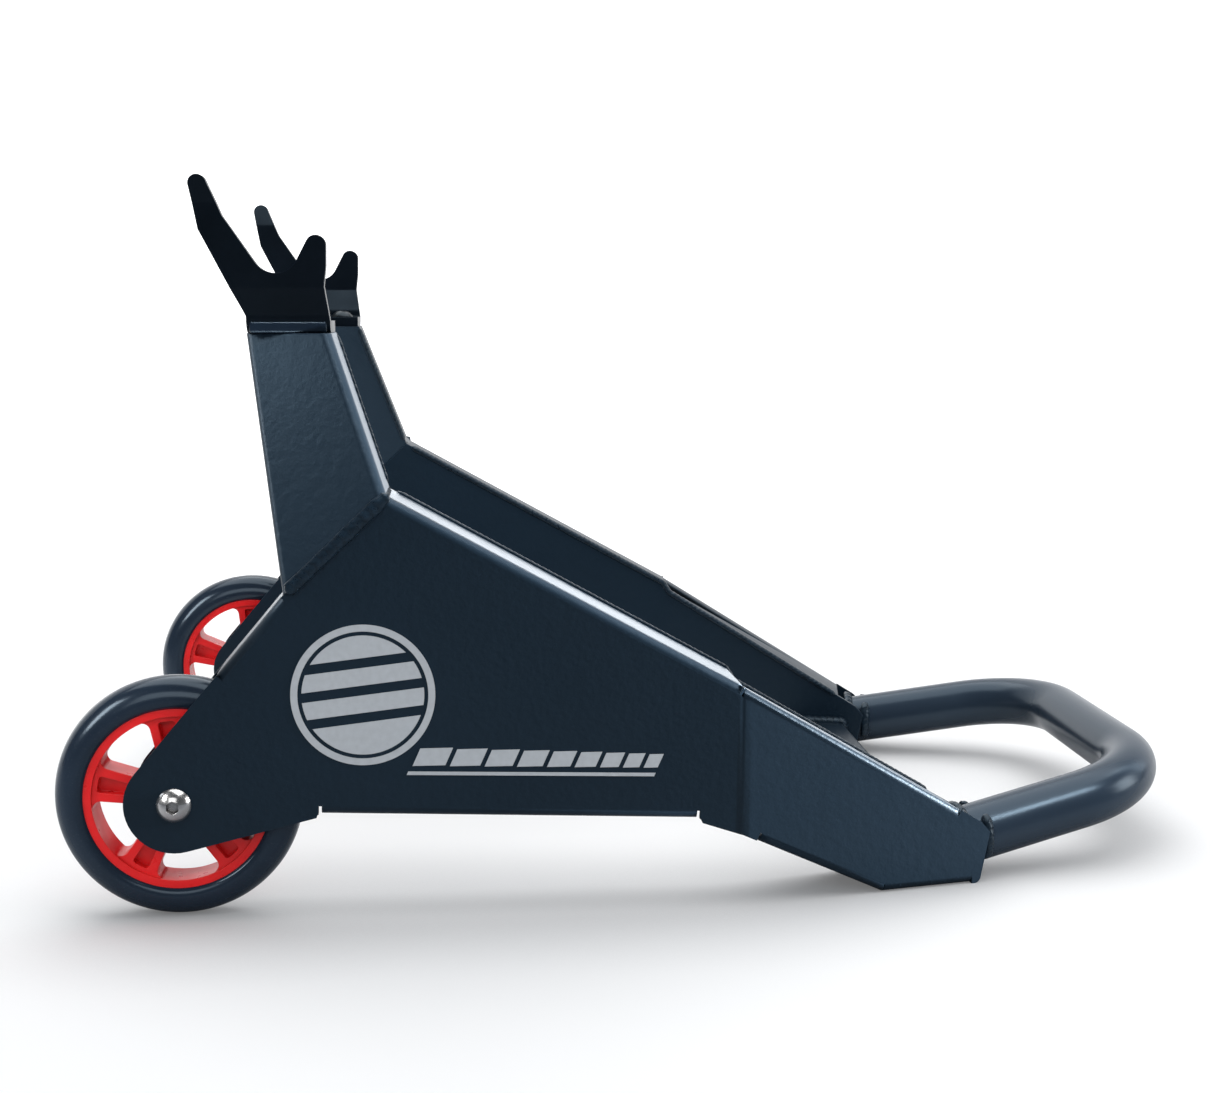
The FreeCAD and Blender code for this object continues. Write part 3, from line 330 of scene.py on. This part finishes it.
# ---------------------------------------------------------------- mesh helpers
def new_piece(name, bm, body, slot, replaced=()):
    """A mesh object that rides on a body and stands for the replaced nodes."""
    mesh = bpy.data.meshes.new(name)
    bmesh.ops.recalc_face_normals(bm, faces=bm.faces)
    for face in bm.faces:
        face.smooth = True
    bm.to_mesh(mesh)
    bm.free()
    mesh.materials.append(MATERIALS[slot])
    obj = bpy.data.objects.new(name, mesh)
    bpy.context.scene.collection.objects.link(obj)
    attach(obj, body)
    if replaced:
        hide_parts(*replaced)
    return obj


def bridge(bm, first, second):
    """Join two rings of as many points with faces."""
    count = len(first)
    for i in range(count):
        j = (i + 1) % count
        bm.faces.new((first[i], first[j], second[j], second[i]))


def close_end(bm, ring, tip, flip):
    """Close a ring with a fan of faces about its tip."""
    for a, b in zip(ring, ring[1:] + ring[:1]):
        bm.faces.new((b, a, tip) if flip else (a, b, tip))


def arc_lengths(points):
    """The distance along a path to each of its points."""
    total = [0.0]
    for a, b in zip(points[:-1], points[1:]):
        total.append(total[-1] + (b - a).length)
    return total


def walk(points, step):
    """Even points along a path, each with the distance from its start."""
    total = arc_lengths(points)
    count = max(4, round(total[-1] / step))
    found = []
    part = 0
    for k in range(count + 1):
        want = total[-1] * k / count
        while part < len(points) - 2 and want > total[part + 1]:
            part += 1
        share = (want - total[part]) / (total[part + 1] - total[part])
        found.append((points[part].lerp(points[part + 1], share), want))
    return found


RIPPLE_STEPS = 7           # rings of points in each ripple of a bead
BEAD_SIDES = 14            # points in each ring


def rippled_bead(name, path, up, size, seed, replaced=()):
    """A weld bead: overlapping ripples along a path, lens-shaped in section.

    up is the way the bead stands out, or a function that gives it for a point; size is the
    bead's width, its height and the length of a ripple."""
    width, height, pitch = size
    bm = bmesh.new()
    random = np.random.default_rng(seed)
    spots = walk(path, pitch / RIPPLE_STEPS)
    length = spots[-1][1]
    sway = random.uniform(-1.0, 1.0, int(length / pitch) + 3)
    rings = []
    for k, (point, run) in enumerate(spots):
        before = spots[max(k - 1, 0)][0]
        after = spots[min(k + 1, len(spots) - 1)][0]
        ahead = (after - before).normalized()
        out = up(point) if callable(up) else up
        rise = (out - ahead * out.dot(ahead)).normalized()
        across = ahead.cross(rise)
        index = int(run / pitch)
        phase = run / pitch - index
        crest = 1.0 - 0.22 * phase ** 1.6
        loose = 1.0 + 0.07 * (sway[index] * (1 - phase) + sway[index + 1] * phase)
        end = min(1.0, (min(run, length - run) + 0.25 * pitch) / (1.3 * pitch))
        full = math.sqrt(max(0.0, 1 - (1 - end) ** 2))
        curved = 0.6 * pitch < run < length - 0.3 * pitch
        ring = []
        for i in range(BEAD_SIDES):
            angle = 2 * math.pi * i / BEAD_SIDES
            side = math.cos(angle) * width / 2 * (0.92 + 0.08 * crest) * loose * full
            lift = math.sin(angle) * height * crest * full
            lag = math.cos(angle) ** 2 * -0.55 * pitch * full if curved else 0.0
            ring.append(bm.verts.new(point + across * side + rise * lift + ahead * lag))
        rings.append(ring)
    for first, second in zip(rings[:-1], rings[1:]):
        bridge(bm, first, second)
    start = bm.verts.new(spots[0][0] - (spots[1][0] - spots[0][0]).normalized() * 0.3 * pitch)
    end = bm.verts.new(spots[-1][0] + (spots[-1][0] - spots[-2][0]).normalized() * 0.3 * pitch)
    close_end(bm, rings[0], start, True)
    close_end(bm, rings[-1], end, False)
    new_piece(name, bm, "frame", "coated_weld", replaced)


LATHE_SEGMENTS = 192


def lathe(name, centre, profile, body, slot, replaced):
    """Turn a closed section of (radius, y) about the wheel axle."""
    bm = bmesh.new()
    rings = []
    for k in range(LATHE_SEGMENTS):
        angle = 2 * math.pi * k / LATHE_SEGMENTS
        c, s = math.cos(angle), math.sin(angle)
        rings.append([bm.verts.new(centre + Vector((r * c, y, r * s))) for r, y in profile])
    for first, second in zip(rings, rings[1:] + rings[:1]):
        bridge(bm, first, second)
    new_piece(name, bm, body, slot, replaced)


# ---------------------------------------------------------------- tyres
TYRE_RADIUS = 62.5 * MM
RIM_RADIUS = 46.9 * MM     # where the tyre sits on the hub
RIM_HALF = 9.5 * MM
SHOULDER = (51.5 * MM, 11.6 * MM)   # radius and half width where tread and wall meet
TYRE_LIP = 1.2 * MM        # the edge that laps over the rim
TYRE_STEP = 0.35 * MM
MOULD_LINE = 0.12 * MM     # height of the fine ridge round the tread
MOULD_LINE_WIDTH = 0.35 * MM


def arc_over(end, top, count):
    """Points (radius, y) on a circle from one end over the top to the other end, which
    mirrors the first; top is the radius in the middle."""
    half = abs(end[1])
    rise = top - end[0]
    radius = (half * half + rise * rise) / (2 * rise)
    middle = top - radius
    reach = math.asin(half / radius)
    if rise > radius:
        reach = math.pi - reach
    points = []
    for k in range(count + 1):
        angle = -reach + 2 * reach * k / count
        points.append((middle + radius * math.cos(angle), radius * math.sin(angle)))
    return points


def tyre_profile():
    """Crowned tread with a fine mould line in the middle and a step beside the rim."""
    lined = []
    for radius, y in arc_over(SHOULDER, TYRE_RADIUS - MOULD_LINE, 46):
        lined.append((radius + MOULD_LINE * math.exp(-((y / MOULD_LINE_WIDTH) ** 2)), y))
    wall = [
        (SHOULDER[0] - 0.9 * MM, SHOULDER[1] - 0.02 * MM),
        (RIM_RADIUS + TYRE_LIP + TYRE_STEP, RIM_HALF + TYRE_LIP + 0.25 * MM),
        (RIM_RADIUS + TYRE_LIP, RIM_HALF + TYRE_LIP),
        (RIM_RADIUS + 0.3 * MM, RIM_HALF + 0.45 * MM),
        (RIM_RADIUS, RIM_HALF),
    ]
    other = [(radius, -y) for radius, y in reversed(wall)]
    inner = [(RIM_RADIUS, RIM_HALF * (0.5 - k / 6)) for k in range(1, 6)]
    return lined + wall + inner + other


def build_tyres():
    for side in SIDES:
        centre = WHEEL[side + "_wheel"]
        lathe(side + "_tyre_skin", centre, tyre_profile(), side + "_wheel", "tyre_pu",
              (side + "_tyre",))


# ---------------------------------------------------------------- weld seams
# Width, height and ripple length of each kind of bead.
ARM_SEAM = (5.0 * MM, 1.7 * MM, 3.4 * MM)
MAST_SEAM = (4.4 * MM, 1.3 * MM, 3.2 * MM)
CROSS_BEAD = (9.0 * MM, 3.5 * MM, 4.2 * MM)
HANDLE_BEAD = (6.8 * MM, 2.8 * MM, 3.5 * MM)
NOSE_BEAD = (6.6 * MM, 2.7 * MM, 3.5 * MM)
KINK_BEAD = (6.4 * MM, 2.0 * MM, 3.6 * MM)
MAST_BEAD = (7.2 * MM, 2.9 * MM, 4.8 * MM)

ARM_SEAM_IN = 1.0 * MM     # from the middle of the plate's edge, towards the other arm
ARM_SEAM_SINK = 0.4 * MM   # and down into the edge
MAST_SEAM_IN = 0.8 * MM
MAST_SEAM_SINK = 0.5 * MM
CROSS_BEAD_LEAN = 14 * MM  # leans the bead of the cross member towards the stand's middle

EDGE_REACH = 1.0 * MM      # hits this close to the nearest one lie on the same edge
EDGE_SCANS = 120           # rays across a plate when its edge is looked for


def surface(node):
    """A search tree of a CAD node's mesh, for finding points on it."""
    return BVHTree.FromPolygons([v.co for v in NODES[node].data.vertices],
                                [tuple(p.vertices) for p in NODES[node].data.polygons])


def kink_point(side):
    """The highest point of the arm, where the mast leaves it."""
    return max(NODES[side + "_arm_inner_plate"].data.vertices, key=lambda v: v.co.z).co


def scan_edge(tree, low, high, point_at, direction):
    """The middle of a plate's edge: what rays in this direction meet first, when they are
    moved across the plate in Y. point_at gives the start of the ray for each y."""
    hits = []
    for k in range(EDGE_SCANS + 1):
        y = low.y + (high.y - low.y) * k / EDGE_SCANS
        hit = tree.ray_cast(point_at(y), direction)[0]
        if hit is not None:
            hits.append(hit)
    if not hits:
        return None
    first = min(hit.dot(direction) for hit in hits)
    edge = [hit for hit in hits if hit.dot(direction) < first + EDGE_REACH]
    return sum(edge, Vector()) / len(edge)


def arm_seam(side):
    """The seam where the inner plate closes the box, along the top of the arm."""
    sign = SIDES[side]
    node = side + "_arm_inner_plate"
    tree = surface(node)
    low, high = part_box(node)
    start = kink_point(side).x + 4 * MM
    finish = high.x - 20 * MM
    count = 64
    path = []
    for k in range(count + 1):
        x = start + (finish - start) * k / count
        hit = scan_edge(tree, low, high, lambda y: Vector((x, y, 1.0)), Vector((0, 0, -1)))
        if hit is not None:
            path.append(Vector((x, hit.y - sign * ARM_SEAM_IN, hit.z - ARM_SEAM_SINK)))
    up = Vector((0.45, -sign * 0.35, 0.80)).normalized()
    rippled_bead(side + "_seam_arm", path, up, ARM_SEAM, seed=11)


def mast_seam(side, name, direction, seed):
    """The seam along one long edge of the mast's inner plate: the front edge is met in
    direction -1 along X, the rear edge in direction 1."""
    sign = SIDES[side]
    node = side + "_mast_inner_plate"
    tree = surface(node)
    low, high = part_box(node)
    start = (kink_point(side).z if direction < 0 else low.z) + 3 * MM
    finish = high.z - 2 * MM
    count = 30
    path = []
    for k in range(count + 1):
        z = start + (finish - start) * k / count
        hit = scan_edge(tree, low, high, lambda y: Vector((-direction, y, z)),
                        Vector((direction, 0, 0)))
        if hit is not None:
            path.append(hit + Vector((direction * MAST_SEAM_SINK, -sign * MAST_SEAM_IN, 0)))
    up = Vector((-direction * 0.8, -sign * 0.5, 0.2)).normalized()
    rippled_bead(side + name, path, up, MAST_SEAM, seed)


def joint_line(node):
    """The two ends of a straight slanting bead node, on its middle line."""
    low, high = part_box(node)
    inset = 2.6 * MM
    y = low.y if low.y < 0 else high.y
    return Vector((low.x + inset, y, low.z + inset)), Vector((high.x - inset, y, high.z - inset))


def cross_seam(side):
    """The bead round the cross member's end."""
    sign = SIDES[side]
    low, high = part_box("cross_member")
    tree = surface(side + "_arm_inner_plate")

    def on_plate(x, z):
        hit = tree.ray_cast(Vector((x, 0, z)), Vector((0, sign, 0)))[0]
        return hit - Vector((0, sign * 0.3 * MM, 0))

    foot = low.z + 4 * MM
    corners = [(low.x, foot), (low.x, high.z), (high.x, high.z), (high.x, foot)]
    path = [on_plate(x, z) for x, z in corners]
    middle = sum(path, Vector()) / len(path)

    def up(point):
        away = point - middle
        return Vector((away.x, -sign * CROSS_BEAD_LEAN, away.z * 1.6)).normalized()

    rippled_bead(side + "_bead_cross", path, up, CROSS_BEAD, 21, (side + "_weld_cross",))


TUBE_RADIUS = 15.9 * MM
TUBE_CENTRE = 18.7 * MM    # height of the tube's middle line where it leaves the end plate
TUBE_TOE = math.tan(math.radians(13.0))
TUBE_RISE = 0.188          # rise of the tube for each unit forward
ARM_TURN = math.radians(11.0)   # how far the front of each arm turns in
BEAD_LIFT = 0.6 * MM       # a bead's path runs this far off the tube and the plate


def handle_seam(side, name, forward_by, angles, size, seed, replaced=()):
    """A bead round part of the handle tube, forward_by past the end plate.

    angles are in degrees, 0 at -Y and 90 on top."""
    sign = SIDES[side]
    forward = Vector((math.cos(ARM_TURN), -sign * math.sin(ARM_TURN), 0))
    along = Vector((1.0, -sign * TUBE_TOE, TUBE_RISE)).normalized()
    low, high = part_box(side + "_arm_end_plate")
    face = Vector((high.x, low.y if sign > 0 else high.y, 0)) + forward * forward_by
    tube_low, tube_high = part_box(side + "_weld_handle")
    centre = Vector((high.x, (tube_low.y + tube_high.y) / 2, TUBE_CENTRE))
    centre += along * ((face - centre).dot(forward) / along.dot(forward))
    aside = along.cross(Vector((0, 0, 1))).normalized()
    above = aside.cross(along).normalized()
    path = []
    count = 48
    for k in range(count + 1):
        angle = math.radians(angles[0] + (angles[1] - angles[0]) * k / count)
        spoke = aside * math.cos(angle) + above * math.sin(angle)
        point = centre + spoke * (TUBE_RADIUS + BEAD_LIFT)
        path.append(point + along * ((face - point).dot(forward) / along.dot(forward) + BEAD_LIFT))

    def up(point):
        return ((point - centre).normalized() + forward * 0.9).normalized()

    rippled_bead(side + name, path, up, size, seed, replaced)


KINK_BEAD_START = 3.0 * MM   # from the outer face
KINK_BEAD_END = 35.0 * MM


def kink_seam(side):
    """A short bead across the top of the box, where mast and arm flanges meet."""
    sign = SIDES[side]
    low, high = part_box(side + "_arm_shell")
    outer = low.y if sign < 0 else high.y
    kink = kink_point(side)
    x = kink.x - 0.6 * MM
    z = kink.z - 1.2 * MM
    path = [Vector((x, outer - sign * KINK_BEAD_START, z)),
            Vector((x, outer - sign * KINK_BEAD_END, z))]
    rippled_bead(side + "_bead_kink", path, Vector((0.76, 0, 0.65)), KINK_BEAD, seed=14)


MAST_BEAD_PAST = 4.5 * MM    # the mast bead runs this far past its node, up to the kink
MAST_BEAD_SINK = 2.2 * MM    # and starts this deep below the node's outer side


def mast_joint_seam(side):
    """The bead where the mast's outer plate meets the arm's."""
    sign = SIDES[side]
    start, end = joint_line(side + "_weld_mast")
    end += (end - start).normalized() * MAST_BEAD_PAST
    face = Vector((0, sign * MAST_BEAD_SINK, 0))
    rippled_bead(side + "_bead_mast", [start - face, end - face], Vector((0, sign, 0)),
                 MAST_BEAD, 5, (side + "_weld_mast",))


def build_seams():
    for side in SIDES:
        arm_seam(side)
        mast_seam(side, "_seam_mast_front", -1.0, 12)
        mast_seam(side, "_seam_mast_rear", 1.0, 13)
        mast_joint_seam(side)
        kink_seam(side)
        cross_seam(side)
        handle_seam(side, "_bead_handle", 2.8 * MM, (-38, 218), HANDLE_BEAD, 31,
                    (side + "_weld_handle",))
        handle_seam(side, "_bead_nose_near", 14.5 * MM, (-36, 48), NOSE_BEAD, 32)
        handle_seam(side, "_bead_nose_far", 14.5 * MM, (132, 216), NOSE_BEAD, 33)


# ---------------------------------------------------------------- foot strips of the forks
STRIP_HEIGHT = 5.8 * MM
STRIP_DEPTH = 5.0 * MM
STRIP_CORNER = 1.1 * MM    # radius of its long edges
STRIP_PROUD = 0.3 * MM     # how far it stands out of the fork's face
STRIP_END = 1.4 * MM       # from the fork's sides
FOOT_LEVEL = 7.5 * MM      # height above the mast where the fork's face is measured

# How the strip narrows towards its ends: distance in corner radii, share of the full size.
STRIP_TAPER = ((0.0, 0.62), (0.12, 0.80), (0.45, 0.95), (1.0, 1.0))


def build_fork_strip(side):
    """The rounded strip that fills the outer bend of a fork's foot."""
    sign = SIDES[side]
    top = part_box(side + "_mast_shell")[1].z
    cap_low, cap_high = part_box(side + "_mast_cap")
    tree = surface(side + "_fork")
    middle_z = top + STRIP_HEIGHT / 2 + 0.1 * MM
    level = top + FOOT_LEVEL
    hits = [tree.ray_cast(Vector((x, sign * 0.4, level)), Vector((0, -sign, 0)))[0]
            for x in np.linspace(cap_low.x - 10 * MM, cap_high.x + 10 * MM, 161)]
    hits = [hit for hit in hits if hit is not None]
    start = min(hit.x for hit in hits) + STRIP_END
    end = max(hit.x for hit in hits) - STRIP_END
    face = max(abs(hit.y) for hit in hits)
    middle_y = sign * (face + STRIP_PROUD - STRIP_DEPTH / 2)
    spots = [(start + reach * STRIP_CORNER, size) for reach, size in STRIP_TAPER]
    spots += [(start + (end - start) * k / 12, 1.0) for k in range(1, 12)]
    spots += [(end - reach * STRIP_CORNER, size) for reach, size in reversed(STRIP_TAPER)]
    bm = bmesh.new()
    rings = []
    for x, size in spots:
        half_y = STRIP_DEPTH / 2 * size - STRIP_CORNER
        half_z = STRIP_HEIGHT / 2 * size - STRIP_CORNER
        ring = []
        for turn in range(4):
            corner = math.pi / 2 * (turn + 0.5)
            cy = math.copysign(half_y, math.cos(corner))
            cz = math.copysign(half_z, math.sin(corner))
            for k in range(5):
                angle = math.pi / 2 * (turn + k / 4)
                ring.append(bm.verts.new((x, middle_y + cy + STRIP_CORNER * math.cos(angle),
                                          middle_z + cz + STRIP_CORNER * math.sin(angle))))
        rings.append(ring)
    for first, second in zip(rings[:-1], rings[1:]):
        bridge(bm, first, second)
    bm.faces.new(rings[0][::-1])
    bm.faces.new(rings[-1])
    strip = new_piece(side + "_fork_strip", bm, "frame", "fork_coat")
    strip.material_slots[0].material = MATERIALS["fork_bend"]


# ---------------------------------------------------------------- stage, light, camera
FLOOR_HALF = 9.0           # half of the floor's width
FLOOR_FRONT = -6.0
FLOOR_BACK = 3.2
FLOOR_BEND = 1.5           # radius of the sweep up into the backdrop
FLOOR_TOP = 5.0
GLOW = 0.62                # how brightly the backdrop is lit from behind
NEAR_GLOW = 0.13           # lift of the floor by the stand, as the camera sees it
COOL = (0.78, 0.90, 1.0)   # light of a slightly blue lamp
PALE = (0.90, 0.95, 1.0)
WHITE = (1.0, 1.0, 1.0)
SKY_AROUND = 0.28          # strength of the sky as a lamp
SKY_MIRRORED = 0.08        # in reflections
SKY_SEEN = 1.0             # straight into the camera


def floor_mesh():
    """A flat floor in front of and below the stand that sweeps up into a backdrop."""
    bm = bmesh.new()
    line = [(FLOOR_FRONT, 0.0), (FLOOR_BACK - FLOOR_BEND, 0.0)]
    for k in range(1, 17):
        angle = math.pi / 2 * k / 16
        line.append((FLOOR_BACK - FLOOR_BEND + FLOOR_BEND * math.sin(angle),
                     FLOOR_BEND - FLOOR_BEND * math.cos(angle)))
    line.append((FLOOR_BACK, FLOOR_TOP))
    rows = [[bm.verts.new((x, y, z)) for x in (-FLOOR_HALF, FLOOR_HALF)] for y, z in line]
    for a, b in zip(rows[:-1], rows[1:]):
        bm.faces.new((a[0], a[1], b[1], b[0]))
    mesh = bpy.data.meshes.new("floor")
    bm.to_mesh(mesh)
    bm.free()
    for face in mesh.polygons:
        face.use_smooth = True
    return mesh


def floor_paper():
    """Pale matt paper.

    It glows far from the stand, so that it is even and white behind it, has a soft shadow painted close to what
    stands on it, and is dim in the coat's reflections."""
    s = Shader("floor_paper")
    ray = s.node("LightPath").outputs
    depth = s.node("SeparateXYZ", {"Vector": s.place}).outputs["Y"]
    away = s.node("VectorMath", {0: s.place}, operation="LENGTH").outputs["Value"]
    around = s.math("MULTIPLY", s.spread(away, NEAR_GLOW, 1.0, 0.6, 2.6), ray["Is Camera Ray"])
    behind = s.spread(depth, 0.0, GLOW, 0.5, 2.4)
    near = s.spread(depth, 1.0, 0.0, -0.35, 0.15)
    grain = s.spread(s.noise(3.0, 2.0), 0.0, 1.0)
    pale = s.blend(grain, rgb(0.80, 0.80, 0.80), rgb(0.82, 0.82, 0.82))
    # Painted shadow: the paper is painted grey where the stand is within 10 cm, a soft shadow round it.
    open_air = s.node("AmbientOcclusion", {"Distance": 0.10}, samples=8).outputs["AO"]
    pale = s.blend(s.spread(open_air, 0.45, 0.0, 0.3, 1.0), pale, rgb(0.20, 0.20, 0.21))
    amount = s.math("MULTIPLY", s.math("MULTIPLY", ray["Is Glossy Ray"], near), 0.8)
    s.set(Base_Color=s.blend(amount, pale, rgb(0.05, 0.06, 0.08)))
    s.set(Roughness=0.9, Specular_IOR_Level=0.0)
    s.set(Emission_Color=rgb(1.0, 1.0, 1.0), Emission_Strength=s.math("MAXIMUM", behind, around))
    return s.material


def build_floor():
    mesh = floor_mesh()
    floor = bpy.data.objects.new("floor", mesh)
    bpy.context.scene.collection.objects.link(floor)
    mesh.materials.append(floor_paper())


def area(name, place, target, size, power, colour=WHITE, glossy=True, reach=()):
    """A soft box lamp. With reach, it lights only the named pieces."""
    light = bpy.data.lights.new(name, "AREA")
    light.shape = "RECTANGLE"
    light.size, light.size_y = size
    light.energy = power
    light.color = colour
    obj = bpy.data.objects.new(name, light)
    obj.location = place
    aim = Vector(target) - Vector(place)
    obj.rotation_euler = aim.to_track_quat("-Z", "Y").to_euler()
    obj.visible_glossy = glossy
    obj.visible_camera = False
    bpy.context.scene.collection.objects.link(obj)
    if reach:
        group = bpy.data.collections.new(name + "_for")
        for piece in reach:
            group.objects.link(bpy.data.objects[piece])
        obj.light_linking.receiver_collection = group


def build_room_lights():
    """Lamps for the whole scene."""
    area("top", (0.1, 0.5, 2.3), (0.0, 0.35, 0.0), (3.6, 2.6), 62.0)
    area("left", (-1.75, -1.25, 1.6), (-0.2, -0.15, 0.2), (0.9, 0.9), 4.0, glossy=False)
    area("right", (1.6, -0.36, 0.5), (0.1, -0.15, 0.05), (0.5, 0.7), 6.0)
    area("front", (0.2, -2.6, 1.5), (0.0, 0.0, 0.1), (2.4, 1.4), 8.0, COOL, glossy=False)


def build_highlights():
    """Lamps that each give one group of pieces its highlights."""
    arms = [side + "_arm_shell" for side in SIDES]
    masts = [side + "_mast_shell" for side in SIDES]
    near_arm, near_mast = "left_arm_shell", "left_mast_shell"
    edged = arms + masts + [side + "_bead_mast" for side in SIDES]
    strips = [side + "_fork_strip" for side in SIDES]
    rolling = [side + part for side in SIDES for part in ("_tyre_skin", "_hub", "_axle_bolt")]

    # folds and flanges of the near arm and mast
    area("sheen", (1.6, -0.22, 0.5), (0.1, -0.16, 0.08), (0.3, 0.5), 105.0, PALE,
         reach=(near_arm, near_mast))
    area("bend_line", (0.3, -1.0, 1.9), (0.0, -0.16, 0.15), (1.6, 0.16), 12.0, PALE, reach=edged)
    area("rear_line", (-1.5, -0.25, 0.72), (-0.2, -0.16, 0.15), (0.2, 0.5), 9.0, PALE,
         reach=arms + masts)
    area("rim", (0.3, 1.5, 0.36), (0.05, -0.16, 0.15), (2.4, 0.5), 14.0, PALE, reach=(near_arm,))
    area("mast_rim", (0.3, 1.5, 0.36), (0.05, -0.16, 0.15), (2.4, 0.5), 4.0, PALE,
         reach=(near_mast,))
    area("mast_glow", (-0.46, -0.32, 0.50), (-0.2, -0.14, 0.29), (0.12, 0.12), 0.36, COOL,
         reach=masts)

    # wheels
    area("wheel_front", (-0.5, -1.8, 1.0), (-0.24, -0.17, 0.06), (1.3, 0.8), 6.0, reach=rolling)
    area("wheel_side", (-1.5, -0.8, 0.9), (-0.26, -0.17, 0.08), (0.4, 0.7), 10.0, reach=rolling)

    # handle
    area("tube_band", (0.7, -0.95, 1.25), (0.25, -0.1, 0.04), (0.9, 0.30), 15.0, PALE,
         reach=("handle_tube",))
    area("tube_end", (1.5, 0.3, 0.9), (0.4, 0.0, 0.04), (0.3, 1.2), 2.5, COOL,
         reach=("handle_tube",))

    # forks and the inside of the far half
    area("far_fork", (-0.31, -1.05, 1.15), (-0.19, 0.13, 0.33), (0.6, 0.4), 3.2, PALE,
         reach=("right_fork",))
    area("strip_top", (-0.19, -0.45, 0.95), (-0.19, -0.13, 0.3), (0.5, 0.08), 9.0, PALE,
         reach=strips)
    area("strip_low", (-0.19, -0.36, 0.12), (-0.19, -0.13, 0.3), (0.4, 0.06), 2.0, PALE,
         reach=strips)
    area("far_mast", (-0.24, -0.10, 0.08), (-0.19, 0.13, 0.28), (0.3, 0.08), 0.9, PALE,
         reach=("right_mast_inner_plate",))
    area("far_arm", (0.0, -0.09, 0.36), (0.0, 0.14, 0.10), (0.5, 0.1), 0.7, PALE,
         reach=("right_arm_inner_plate",))


def build_sky():
    """A pale sky: white to the camera, and of another strength in each kind of ray."""
    world = bpy.data.worlds.new("studio")
    bpy.context.scene.world = world
    world.use_nodes = True
    nodes = world.node_tree.nodes
    sky = nodes["Background"].inputs
    tint = nodes.new("ShaderNodeMix")
    tint.data_type = "RGBA"
    tint.inputs[6].default_value = rgb(0.90, 0.94, 1.0)
    tint.inputs[7].default_value = rgb(1.0, 1.0, 1.0)
    ray = nodes.new("ShaderNodeLightPath").outputs
    links = world.node_tree.links
    links.new(ray["Is Camera Ray"], tint.inputs[0])
    links.new(tint.outputs[2], sky["Color"])
    glossy = nodes.new("ShaderNodeMapRange")
    glossy.inputs["To Min"].default_value = SKY_AROUND
    glossy.inputs["To Max"].default_value = SKY_MIRRORED
    links.new(ray["Is Glossy Ray"], glossy.inputs["Value"])
    seen = nodes.new("ShaderNodeMapRange")
    seen.inputs["To Max"].default_value = SKY_SEEN
    links.new(ray["Is Camera Ray"], seen.inputs["Value"])
    links.new(glossy.outputs["Result"], seen.inputs["To Min"])
    links.new(seen.outputs["Result"], sky["Strength"])


CAMERA_PLACE = (-0.100, -1.004, 0.312)
CAMERA_DOWN = 8.31         # degrees below level
CAMERA_TURN = -4.94        # degrees about Z, from looking along +Y
CAMERA_LENS = 49.76        # mm, on a sensor 36 mm wide


def build_camera():
    camera = bpy.data.cameras.new("camera")
    camera.sensor_fit = "HORIZONTAL"
    camera.sensor_width = 36.0
    camera.lens = CAMERA_LENS
    obj = bpy.data.objects.new("camera", camera)
    obj.location = CAMERA_PLACE
    obj.rotation_euler = (math.radians(90 - CAMERA_DOWN), 0.0, math.radians(CAMERA_TURN))
    bpy.context.scene.collection.objects.link(obj)
    bpy.context.scene.camera = obj


coat_nodes()
soften_nodes()
build_tyres()
build_seams()
for side_name in SIDES:
    build_fork_strip(side_name)
build_floor()
build_room_lights()
build_highlights()
build_sky()
build_camera()
bpy.context.scene.view_settings.view_transform = "Standard"

bpy.context.view_layer.update()
